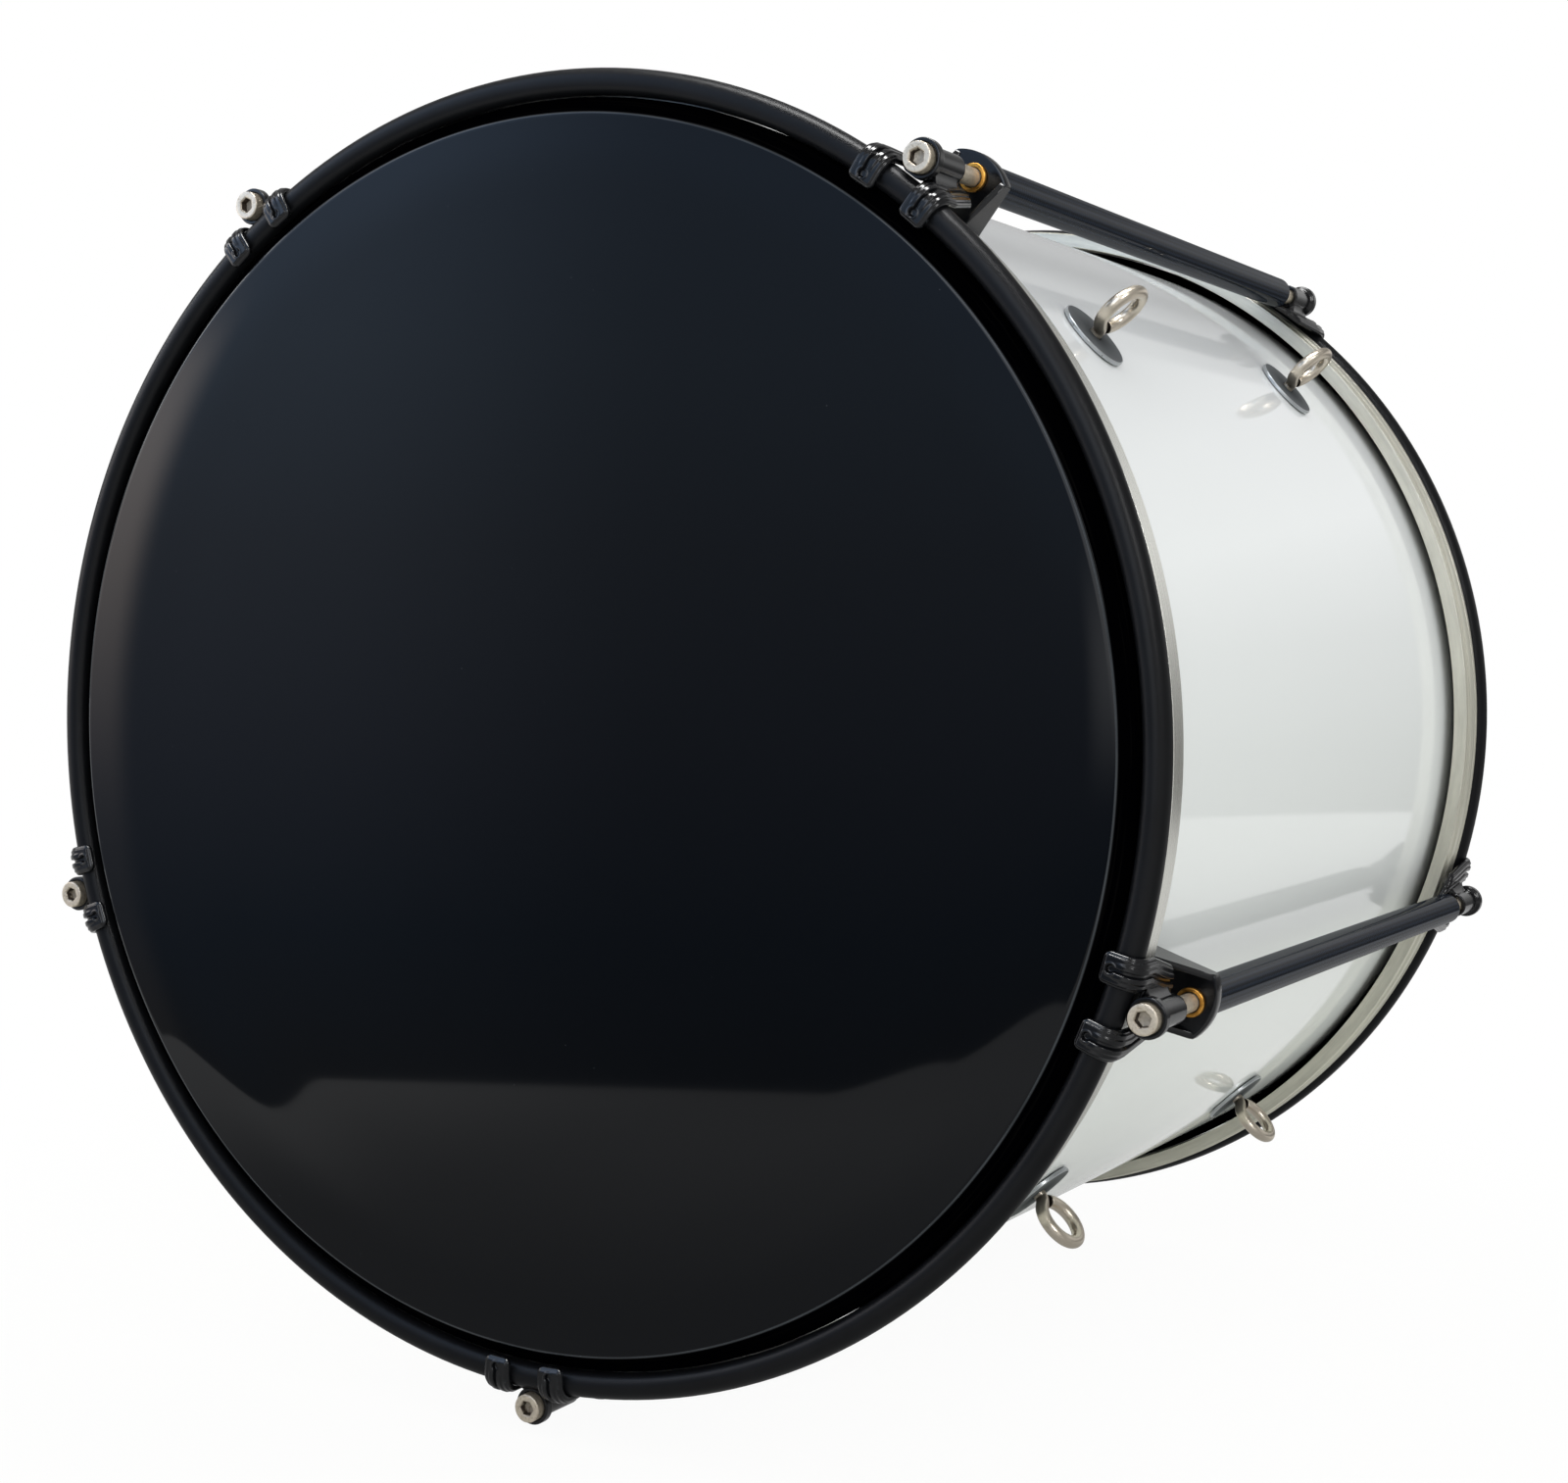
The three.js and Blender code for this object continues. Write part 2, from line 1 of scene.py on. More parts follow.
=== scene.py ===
"""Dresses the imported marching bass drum.

The frame's CAD nodes give every place. Shapes are worked out in millimetres, as grids of points
in numpy, and go into the meshes in metres. A piece of a rim is drawn at the rear end (+Y) and at
angle zero (+X); placed() carries it to its own angle and end.
"""

import json
import math
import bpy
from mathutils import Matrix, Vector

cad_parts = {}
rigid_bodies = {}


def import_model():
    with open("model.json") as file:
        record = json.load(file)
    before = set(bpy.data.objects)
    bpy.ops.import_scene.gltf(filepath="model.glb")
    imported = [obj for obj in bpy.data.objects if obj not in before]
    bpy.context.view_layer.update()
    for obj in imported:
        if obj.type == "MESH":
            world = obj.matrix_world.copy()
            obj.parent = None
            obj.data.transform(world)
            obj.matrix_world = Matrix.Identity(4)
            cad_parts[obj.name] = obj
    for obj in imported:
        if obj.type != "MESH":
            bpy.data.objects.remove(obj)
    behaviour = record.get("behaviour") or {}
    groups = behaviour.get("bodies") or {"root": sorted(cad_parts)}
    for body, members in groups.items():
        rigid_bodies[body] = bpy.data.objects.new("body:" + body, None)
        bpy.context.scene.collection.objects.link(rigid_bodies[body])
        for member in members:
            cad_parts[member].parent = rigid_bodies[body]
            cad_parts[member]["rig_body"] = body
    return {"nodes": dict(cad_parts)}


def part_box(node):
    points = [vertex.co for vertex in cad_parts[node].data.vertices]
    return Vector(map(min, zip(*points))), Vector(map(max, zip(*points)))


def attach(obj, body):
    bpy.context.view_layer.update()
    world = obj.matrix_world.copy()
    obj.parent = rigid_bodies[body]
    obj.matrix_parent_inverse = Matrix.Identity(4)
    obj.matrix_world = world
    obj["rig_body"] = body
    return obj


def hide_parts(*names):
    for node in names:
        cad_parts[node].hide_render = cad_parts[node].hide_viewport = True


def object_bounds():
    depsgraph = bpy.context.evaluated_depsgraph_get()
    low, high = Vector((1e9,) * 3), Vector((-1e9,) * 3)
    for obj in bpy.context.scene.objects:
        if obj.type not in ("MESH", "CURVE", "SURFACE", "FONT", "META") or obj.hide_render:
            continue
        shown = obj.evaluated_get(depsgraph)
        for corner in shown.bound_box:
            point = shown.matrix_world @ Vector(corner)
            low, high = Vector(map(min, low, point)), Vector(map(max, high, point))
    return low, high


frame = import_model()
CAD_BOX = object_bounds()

from types import SimpleNamespace

import bpy
import numpy as np
from bpy.props import FloatProperty, FloatVectorProperty, PointerProperty
from mathutils import Matrix, Vector

bl_info = {
    "name": "Marching bass drum",
    "version": (1, 0, 0),
    "blender": (4, 5, 0),
    "location": "3D View > Sidebar > Drum",
    "description": "Builds the shown pieces of a marching bass drum over its packed frame",
    "category": "Object",
}

MM = 1000.0
LUGS = 5
FIRST_LUG_DEG = -90.0
LUG_STEP_DEG = 72.0
ENDS = (("front", True), ("rear", False))
EYE_LEVELS = (("upper", 41.6), ("lower", -45.4))
EYE_Y = (("front", -133.5), ("rear", 133.5))
EYES = [(f"{level}_{end}", deg, y) for level, deg in EYE_LEVELS for end, y in EYE_Y]

# Sizes in millimetres that several shapes share: the gap that stands for a seat, the radius of a
# bore for a screw, the radius of a brass sleeve, and the two faces of a bracket's plate.
SEAT_GAP = 0.3
BORE = 4.4
SLEEVE = 5.5
PLATE_LOW, PLATE_HIGH = 191.4, 197.4

# Columns of the grids that go round the drum, a film, a turned piece and a lug tube, and the
# angle in degrees over which an edge is sharp.
DRUM_COLUMNS, FILM_COLUMNS, TURNED_COLUMNS, TUBE_COLUMNS = 256, 320, 72, 56
SHARP_DEG = 38.0

# The photograph's camera: yaw, pitch and roll in degrees, place in metres, focal length in mm.
VIEW_TURNS = (29.74, 3.38, -1.61)
VIEW_PLACE = (0.6352, -1.1444, 0.0668)
VIEW_LENS = 56.02


# ---------------------------------------------------------------- sizes and colours


def box_mm(node):
    """A CAD node's lowest and highest corner in millimetres."""
    low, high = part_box(node)
    return low * MM, high * MM


SHELL_BOX = box_mm("shell")
HOOP_BOX = box_mm("hoop_rear")
FLESH_BOX = box_mm("flesh_ring_rear")
TUBE_BOX = box_mm("lug_tube_1")
SCREW_BOX = box_mm("screw_rear_1")


def length(name, description, millimetres):
    """A length property in metres whose default is given in millimetres."""
    return FloatProperty(
        name=name, description=description, default=millimetres / MM, unit="LENGTH", precision=4
    )


def colour(name, description, code):
    """A colour property whose default is a six-figure screen colour."""
    return FloatVectorProperty(
        name=name, description=description, default=linear(code), subtype="COLOR", min=0, max=1
    )


def linear(code):
    """A six-figure screen colour as linear light: c/12.92 up to 0.04045, above it
    ((c + 0.055)/1.055)^2.4."""
    c = np.array([int(code[i : i + 2], 16) for i in (0, 2, 4)]) / 255
    return tuple(np.where(c <= 0.04045, c / 12.92, ((c + 0.055) / 1.055) ** 2.4).tolist())


class DrumSizes(bpy.types.PropertyGroup):
    """Sizes of the drum's pieces. Those read from a node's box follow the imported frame."""

    shell_radius: length("Shell radius", "Outside radius of the shell", SHELL_BOX[1].z)
    shell_wall: length("Shell wall", "Thickness of the shell", 7.0)
    shell_end: length("Shell end", "Half the shell's length, to its bearing edge", SHELL_BOX[1].y)
    film_face: length("Film face", "Half the distance between the films' outer faces", 254.0)
    film: length("Film", "Thickness of the film", 0.6)
    hoop_tube: length("Hoop tube", "Radius of the hoop's tube", 6.0)
    hoop_radius: length("Hoop radius", "Radius of the hoop's centre line", HOOP_BOX[1].z - 6.0)
    hoop_y: length("Hoop place", "Distance of the hoop from the drum's middle", HOOP_BOX[1].y - 6.0)
    flesh_outer: length("Flesh ring", "Outside radius of the flesh ring", FLESH_BOX[1].z)
    flesh_wall: length("Flesh ring wall", "Thickness of the flesh ring", 8.3)
    flesh_low: length("Flesh ring inner edge", "Edge nearest the middle", FLESH_BOX[0].y)
    flesh_high: length("Flesh ring outer edge", "Edge nearest the hoop", FLESH_BOX[1].y)
    screw_axis: length("Screw line", "Distance of the screws from the drum's axis", 304.9)
    screw_face: length("Screw face", "Distance of the screw heads' faces", SCREW_BOX[1].y)
    screw_tip: length("Screw tip", "Distance of the screws' tips", SCREW_BOX[0].y)
    screw_radius: length("Screw", "Radius of the screw's shank", 4.0)
    screw_head: length("Screw head", "Radius of the screw's head", 6.5)
    hex_key: length("Hexagon key", "Width of the socket across its flats", 6.0)
    tube_radius: length("Lug tube", "Radius of the lug tube", 8.0)
    tube_bore: length("Lug tube bore", "Inside radius of the lug tube", 5.8)
    tube_front: length("Lug tube front", "Front end of the lug tube", TUBE_BOX[0].y)
    tube_rear: length("Lug tube rear", "Rear end of the lug tube", TUBE_BOX[1].y)
    claw_clear: length("Claw clearance", "Gap between the hoop and a claw", 0.3)
    claw_strap: length("Claw strap", "Thickness of a claw's strap", 3.7)
    eye_rod: length("Eye rod", "Radius of the eye bolt's rod", 3.0)
    eye_ring: length("Eye ring", "Radius of the eye's centre line", 11.0)
    eye_rise: length("Eye rise", "Distance of the ring's centre from the drum's axis", 297.0)


class DrumColours(bpy.types.PropertyGroup):
    """Colours of the drum's finishes."""

    shell: colour("Shell", "Gloss white wrap", "EAEDEF")
    film: colour("Film", "Blue-black film", "080A0E")
    ring: colour("Flesh ring", "Satin aluminium", "E4E4DD")
    hoop: colour("Hoop", "Satin black tube", "0F1013")
    casting: colour("Castings", "Black claws and brackets", "0E0F12")
    weave: colour("Lug tube", "Dark woven fibre under lacquer", "0F131A")
    steel: colour("Screws", "Warm bright steel", "D6CBBA")
    # Brown for grime, and for painted shade in the screws' sockets.
    grime_and_shade: colour("Grime", "Brown dirt in sockets and knurls", "33261A")
    brass: colour("Bushes", "Turned brass", "D29A48")
    nickel: colour("Eyes", "Warm nickel plate", "D2C8B8")
    washer: colour("Washers", "Blue-grey zinc", "474A4D")


def watts(name, power):
    """A lamp's power property."""
    return FloatProperty(name=name, description="Power in watts", default=power)


class StageSettings(bpy.types.PropertyGroup):
    """Strengths of the lamps and of the even light round the drum."""

    key_power: watts("Key light", 6.0)
    fill_power: watts("Fill light", 5.0)
    top_power: watts("Top light", 3.0)
    world: FloatProperty(name="Surround", description="Strength of the even light", default=0.93)


def sizes(context):
    """The size properties as plain numbers in millimetres."""
    group = context.scene.drum_sizes
    names = DrumSizes.__annotations__
    return SimpleNamespace(**{name: getattr(group, name) * MM for name in names})


# ---------------------------------------------------------------- grids of points


def smooth(x, low, high):
    """Smooth step: with u = (x - low) / (high - low) kept from 0 to 1, it is 3u² - 2u³."""
    u = np.clip((x - low) / (high - low), 0, 1)
    return u * u * (3 - 2 * u)


def eased(points, radii, steps=4, closed=True):
    """A profile with rounded corners. At a corner p with radius r, from a = p + r(before - p)/|…|
    to b = p + r(after - p)/|…|, the curve is (1-u)²a + 2u(1-u)p + u²b. A point half as far
    again on each side keeps the flats flat. A corner with radius 0 stays sharp."""
    p = np.asarray(points, float)
    r = np.array(np.broadcast_to(radii, len(p)), float)
    if not closed:
        r[0] = r[-1] = 0
    before = np.roll(p, 1, axis=0) - p
    after = np.roll(p, -1, axis=0) - p
    before /= np.linalg.norm(before, axis=1, keepdims=True)
    after /= np.linalg.norm(after, axis=1, keepdims=True)
    reach = r[:, None]
    a, b = p + before * reach, p + after * reach
    u = np.linspace(0, 1, steps + 1)[None, :, None]
    bend = (1 - u) ** 2 * a[:, None] + 2 * u * (1 - u) * p[:, None] + u**2 * b[:, None]
    lead, trail = p + before * reach * 1.5, p + after * reach * 1.5
    full = np.concatenate([lead[:, None], bend, trail[:, None]], axis=1)
    return np.concatenate([full[i] if r[i] > 0 else p[i : i + 1] for i in range(len(p))])


def resampled(points, count):
    """A closed outline at even steps of its own length, starting at its first point."""
    closed = np.vstack([points, points[:1]])
    run = np.concatenate([[0], np.cumsum(np.linalg.norm(np.diff(closed, axis=0), axis=1))])
    at = np.linspace(0, run[-1], count, endpoint=False)
    return np.stack([np.interp(at, run, closed[:, k]) for k in (0, 1)], axis=1)


def lathe(profile, columns, at=0.0):
    """A profile of [r, h] turned about a line along Y at distance `at` from the drum's axis:
    x = at + r cos a, y = h, z = r sin a."""
    a = np.linspace(0, 2 * np.pi, columns, endpoint=False)
    r, h = profile[:, :1], profile[:, 1:]
    return np.stack([at + r * np.cos(a), h + 0 * a, r * np.sin(a)], axis=2)


def rounded_plate(outline, low, high, ease, hole=None, columns=96):
    """A flat plate from height low to high. Each row of the grid is the outline drawn in towards
    the centre c: c + (p - c)(1 - k/|p - c|), with k = ease on the faces and 0 round the edge.
    With a hole (x, y, r) the rows end on its circle, c + r(p - c)/|p - c|, and join up; without
    one they close on c. Gives x, y in the outline's plane and the height as a third number."""
    edge = resampled(np.asarray(outline, float), columns)
    centre = edge.mean(axis=0) if hole is None else np.array(hole[:2])
    away = edge - centre
    far = np.linalg.norm(away, axis=1, keepdims=True)
    unit = away / far
    bulge = ease * (1 - math.sqrt(0.5))
    turn = [(2.0 * ease, 0.0), (ease, 0.0), (bulge, bulge), (0.0, ease)]
    outer = [(k, high - d) for k, d in turn] + [(k, low + d) for k, d in reversed(turn)]
    rows = [np.hstack([centre + unit * (far - k), np.full_like(far, h)]) for k, h in outer]
    if hole is not None:
        r, lip = hole[2], 0.3
        down = [(r + 2 * lip, low), (r + lip, low), (r, low + lip)]
        up = [(r, high - lip), (r + lip, high), (r + 2 * lip, high)]
        rows += [np.hstack([centre + unit * k, np.full_like(far, h)]) for k, h in down + up]
    return np.array(rows)


def swept(path, r, columns):
    """A round rod along a path in the X-Y plane: P = C + r(cos a · n + sin a · b), where n is
    square to the path in its plane and b is the Z axis. r holds one radius for each point."""
    along = np.gradient(path, axis=0)
    along /= np.linalg.norm(along, axis=1, keepdims=True)
    n = np.stack([-along[:, 1], along[:, 0], 0 * along[:, 0]], axis=1)
    b = np.array([0.0, 0.0, 1.0])
    a = np.linspace(0, 2 * np.pi, columns, endpoint=False)[None, :, None]
    middle = np.hstack([path, np.zeros((len(path), 1))])[:, None]
    return middle + r[:, None, None] * (np.cos(a) * n[:, None] + np.sin(a) * b)


def placed(grid, deg, front=False, shift=0.0):
    """Carries a grid from angle zero at the rear to its angle t about the drum's axis:
    a front piece is first turned over, (x, -y, -z); then x' = x cos t - z sin t and
    z' = x sin t + z cos t. shift moves it along Y."""
    x, y, z = np.moveaxis(grid, -1, 0)
    if front:
        y, z = -y, -z
    t = math.radians(deg)
    return np.stack(
        [x * math.cos(t) - z * math.sin(t), y + shift, x * math.sin(t) + z * math.cos(t)],
        axis=-1,
    )


# ---------------------------------------------------------------- meshes


class Skin:
    """One closed surface: a grid of rows by columns whose columns join round. With ring, the last
    row joins the first; otherwise each end is closed on a pole at its row's middle. Each point of
    the grid carries a number from 0 to 1 that its finish reads, and span is the real size in mm of
    one column and the distance of each row along the piece, for the UV map. That number marks
    rubbed edges with painted highlights on the claws, grime with painted shade in the screws'
    sockets, painted shade in the bushes' bores, the eyes' cut ends and the washers' rubbed edges."""

    def __init__(self, grid, ring=False, soil=None, span=None):
        self.grid, self.ring, self.soil, self.span = grid, ring, soil, span

    def points(self):
        """The grid's points, and the two poles where there are any."""
        flat = self.grid.reshape(-1, 3)
        if self.ring:
            return flat
        return np.vstack([flat, self.grid[0].mean(axis=0), self.grid[-1].mean(axis=0)])

    def marks(self):
        """The soil number of each point."""
        soil = np.zeros(self.grid.shape[:2]) + (0 if self.soil is None else self.soil)
        if self.ring:
            return soil.ravel()
        return np.concatenate([soil.ravel(), [soil[0].mean(), soil[-1].mean()]])

    def faces(self):
        """Quads (i,j) (i,j+1) (i+1,j+1) (i+1,j), and triangles to the poles, turned to face out by
        the sign of the volume, the sum of a · (b × c) / 6."""
        rows, columns = self.grid.shape[:2]
        i = np.arange(rows if self.ring else rows - 1)[:, None]
        j = np.arange(columns)[None, :]
        k = (j + 1) % columns
        below = (i + 1) % rows
        quads = np.stack(
            [i * columns + j, i * columns + k, below * columns + k, below * columns + j], axis=2
        ).reshape(-1, 4)
        fans = np.zeros((0, 3), int)
        if not self.ring:
            j, k = j.ravel(), k.ravel()
            first, last = np.full(columns, rows * columns), np.full(columns, rows * columns + 1)
            end = (rows - 1) * columns
            fans = np.vstack(
                [np.stack([k, j, first], axis=1), np.stack([end + j, end + k, last], axis=1)]
            )
        p = self.points() - self.grid.reshape(-1, 3).mean(axis=0)
        triangles = np.vstack([quads[:, :3], quads[:, [0, 2, 3]], fans])
        a, b, c = (p[triangles[:, n]] for n in range(3))
        if np.einsum("ij,ij->", a, np.cross(b, c)) < 0:
            return quads[:, ::-1], fans[:, ::-1], True
        return quads, fans, False

    def corner_uvs(self, turned_round):
        """U in mm round the piece and V in mm along it, at each corner of the quads and fans."""
        rows, columns = self.grid.shape[:2]
        step, along = self.span
        along = np.append(along, along[-1])
        count = rows if self.ring else rows - 1
        i = np.arange(count)[:, None]
        j = np.arange(columns)[None, :]
        u = np.stack([j, j + 1, j + 1, j], axis=2) * step + np.zeros((count, 1, 4))
        v = np.stack([i, i, i + 1, i + 1], axis=2) + np.zeros((1, columns, 4), int)
        quads = np.stack([u, along[v]], axis=3).reshape(-1, 4, 2)
        if turned_round:
            quads = quads[:, ::-1]
        fans = 0 if self.ring else 2 * columns * 3
        return np.vstack([quads.reshape(-1, 2), np.zeros((fans, 2))])


def make_piece(node, skins, finish, sharp_deg=SHARP_DEG):
    """Puts closed surfaces into one mesh that stands for a CAD node and rides on its body."""
    points, faces, marks, uvs, start = [], [], [], [], 0
    for skin in skins:
        quads, fans, turned_round = skin.faces()
        points.append(skin.points() / MM)
        marks.append(skin.marks())
        faces += (quads + start).tolist() + (fans + start).tolist()
        if skin.span is not None:
            uvs.append(skin.corner_uvs(turned_round))
        start += len(points[-1])
    mesh = bpy.data.meshes.new(node + "_made")
    mesh.from_pydata(np.vstack(points).tolist(), [], faces)
    if mesh.validate():
        raise RuntimeError(f"{node}: its mesh had faces that had to be mended")
    soil = mesh.attributes.new("soil", "FLOAT", "POINT")
    soil.data.foreach_set("value", np.concatenate(marks).astype(np.float32))
    if uvs:
        layer = mesh.uv_layers.new(name="wrap")
        layer.data.foreach_set("uv", np.vstack(uvs).astype(np.float32).ravel())
    mesh.shade_smooth()
    mesh.set_sharp_from_angle(angle=math.radians(sharp_deg))
    mesh.materials.append(finish)
    piece = bpy.data.objects.new(node + "_made", mesh)
    bpy.context.scene.collection.objects.link(piece)
    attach(piece, frame["nodes"][node]["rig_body"])
    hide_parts(node)
    return piece


# ---------------------------------------------------------------- material recipes


def math_sign(operation):
    """The method that adds a Math node for one of Python's operators."""

    def method(self, other):
        """A Math node on this value and the other."""
        return self.recipe.math(operation, self, other)

    return method


class Number:
    """A value inside a material. Python's operators on it add Math nodes."""

    def __init__(self, recipe, socket):
        self.recipe, self.socket = recipe, socket

    def __rsub__(self, other):
        return self.recipe.math("SUBTRACT", other, self)

    def __abs__(self):
        return self.recipe.math("ABSOLUTE", self)

    __add__ = __radd__ = math_sign("ADD")
    __mul__ = __rmul__ = math_sign("MULTIPLY")
    __sub__ = math_sign("SUBTRACT")
    __truediv__ = math_sign("DIVIDE")
    __mod__ = math_sign("FLOORED_MODULO")


class Recipe:
    def __init__(self, name):
        self.material = bpy.data.materials.new(name)
        self.material.use_nodes = True
        self.tree = self.material.node_tree
        self.shader = self.tree.nodes["Principled BSDF"]

    def node(self, kind, settings=None, values=None, out=0):
        """Adds a node of a type. Its settings come first, then its sockets' values or links."""
        made = self.tree.nodes.new(kind)
        for name, value in (settings or {}).items():
            if name == "stops":
                self.set_stops(made.color_ramp, value)
            else:
                setattr(made, name, value)
        for key, value in (values or {}).items():
            self.feed(made.inputs[key], value)
        return Number(self, made.outputs[out])

    def set_stops(self, ramp, stops):
        """Gives a colour ramp its stops, each a place and a colour."""
        while len(ramp.elements) < len(stops):
            ramp.elements.new(1)
        for element, (place, shade) in zip(ramp.elements, stops):
            element.position, element.color = place, shade

    def feed(self, socket, value):
        """Links a value made by a node to a socket, or sets a plain one. A colour gets alpha 1."""
        if isinstance(value, Number):
            self.tree.links.new(value.socket, socket)
        elif isinstance(value, tuple) and len(value) == 3 < len(socket.default_value):
            socket.default_value = (*value, 1)
        else:
            socket.default_value = value

    def math(self, operation, *values):
        """A Math node on plain numbers and values."""
        return self.node("ShaderNodeMath", {"operation": operation}, dict(enumerate(values)))

    def sum(self, a, b):
        """Two colours added."""
        return self.node("ShaderNodeVectorMath", {"operation": "ADD"}, {0: a, 1: b})

    def ray(self, kind):
        """1 for rays of that kind, else 0."""
        return self.node("ShaderNodeLightPath", out=kind)

    def xyz(self, vector):
        """The three parts of a vector."""
        made = self.tree.nodes.new("ShaderNodeSeparateXYZ")
        self.feed(made.inputs[0], vector)
        return [Number(self, socket) for socket in made.outputs]

    def join(self, x, y, z):
        """A vector from three values."""
        return self.node("ShaderNodeCombineXYZ", None, {0: x, 1: y, 2: z})

    def place(self):
        """The point on the object, in metres."""
        return self.node("ShaderNodeTexCoord", out="Object")

    def noise(self, scale, detail=2.0, roughness=0.5, at=None):
        """Noise from 0 to 1, with `scale` lumps in a metre of the object or of another vector."""
        at = at or self.place()
        values = {"Vector": at, "Scale": scale, "Detail": detail, "Roughness": roughness}
        return self.node("ShaderNodeTexNoise", None, values)

    def step(self, value, low, high):
        """Rises smoothly from 0 at low to 1 at high."""
        values = {0: value, 1: low, 2: high, 3: 0.0, 4: 1.0}
        return self.node("ShaderNodeMapRange", {"interpolation_type": "SMOOTHSTEP"}, values)

    def mix(self, share, a, b):
        """Colour a with share 0, colour b with share 1."""
        return self.node("ShaderNodeMix", {"data_type": "RGBA"}, {0: share, 6: a, 7: b}, out=2)

    def scaled(self, base, amount):
        """A colour times a value."""
        values = {0: base, "Scale": amount}
        return self.node("ShaderNodeVectorMath", {"operation": "SCALE"}, values)

    def bump(self, height, distance, strength=1.0):
        """A Normal from a height from 0 to 1, `distance` metres deep."""
        values = {"Height": height, "Distance": distance, "Strength": strength}
        return self.node("ShaderNodeBump", None, values)

    def soil(self):
        """The piece's own soil number."""
        return self.node("ShaderNodeAttribute", {"attribute_name": "soil"}, out="Fac")

    def overlay(self, share, over, under=None):
        """Shows one shader over another, or over the material's own, by a share from 0 to 1."""
        under = under or Number(self, self.shader.outputs[0])
        mixed = self.node("ShaderNodeMixShader", None, {0: share, 1: under, 2: over})
        self.feed(self.tree.nodes["Material Output"].inputs["Surface"], mixed)

    def finish(self, colour, rough=0.5, normal=None, **others):
        """Sets the shader's colour, roughness, normal and other sockets, which are named with _
        for a space, and gives the material."""
        others.update(Base_Color=colour, Roughness=rough)
        if normal:
            others["Normal"] = normal
        for name, value in others.items():
            self.feed(self.shader.inputs[name.replace("_", " ")], value)
        return self.material


def polar(recipe):
    """Distance from the drum's axis, place along it, and angle round it, of a point."""
    x, y, z = recipe.xyz(recipe.place())
    radius = recipe.math("SQRT", x * x + z * z)
    return radius, y, recipe.math("ARCTAN2", z, x)


def shell_finish(c):
    """Gloss white wrap: faint cloudiness, a slight orange peel, and a hard clear shine."""
    r = Recipe("gloss_white_wrap")
    cloud = r.noise(5.0, 3.0)
    peel = r.noise(160.0, 1.0)
    shade = r.scaled(tuple(c.shell), 0.985 + 0.03 * cloud)
    rough = 0.05 + 0.05 * r.noise(22.0, 3.0)
    return r.finish(shade, rough, r.bump(peel, 0.00002, 0.5), Specular_IOR_Level=0.28)


def film_slopes(r, radius, x, z):
    """Height in metres of the film's slight waves near its edge, as its mirror image shows them.
    Its slope is 0.075 s(240, 272) + 0.024 cos(a)(1 - sin(a)) s(205, 240), with s a smooth step
    over the radius in mm; the integral of s over w is w(u³ - u⁴/2), and goes on as a straight
    line."""

    def fallen(low, wide):
        u = r.math("MINIMUM", r.math("MAXIMUM", (radius - low) / wide, 0.0), 1.0)
        past = r.math("MAXIMUM", radius - (low + wide), 0.0)
        return wide * (u * u * u - 0.5 * u * u * u * u) + past

    tilt = (x / radius) * (1.0 - z / radius)
    return -0.075 * fallen(0.240, 0.032) - 0.024 * tilt * fallen(0.205, 0.035)


def film_finish(c):
    """Coated film: blue-black, mirror smooth with slow waves near its edge, specks of dust, a
    faint pale line where it turns over the bearing edge, which is a painted highlight, and a dull
    collar outside that, painted near-black as painted shade in the gap between film and hoop."""
    r = Recipe("coated_film")
    radius, _, turn = polar(r)
    x, _, z = r.xyz(r.place())
    cloud = r.noise(6.0, 4.0, 0.6)
    # Painted highlight: a pale line round the film where it turns over the bearing edge.
    edge_highlight = r.step(radius, 0.2757, 0.2761) * (1 - r.step(radius, 0.2765, 0.2769))
    patchy = r.noise(1.0, 3.0, 0.5, r.join(turn * 9.0, radius * 300.0, 0.0))
    spots = {"Vector": r.place(), "Scale": 85.0}
    cell = r.node("ShaderNodeTexVoronoi", None, spots, out="Distance")
    dusty = r.step(r.noise(14.0, 2.0), 0.5, 0.62)
    speck = (1 - r.step(cell, 0.012, 0.03)) * dusty
    flat = r.scaled(tuple(c.film), 0.85 + 0.35 * cloud)
    # The pale colour paints that highlight line and the dust specks.
    shade = r.mix(edge_highlight * (0.05 + 0.4 * patchy) + 0.25 * speck, flat, linear("6A7078"))
    rough = 0.035 + 0.02 * cloud
    film = r.finish(
        shade, rough, r.bump(film_slopes(r, radius, x, z), 1.0), Specular_IOR_Level=0.18
    )
    dust = r.step(r.noise(1.0, 3.0, 0.5, r.join(turn * 3.0, radius * 900.0, 0.0)), 0.55, 0.75)
    # Painted shade: the collar, in the gap between the film and the hoop, is painted near-black,
    # darker than the film; its paler lines are dust.
    dull = r.mix(dust * 0.3, linear("010102"), linear("161514"))
    collar = r.node("ShaderNodeBsdfDiffuse", None, {"Color": dull})
    r.overlay(r.step(radius, 0.2764, 0.2772), collar)
    return film


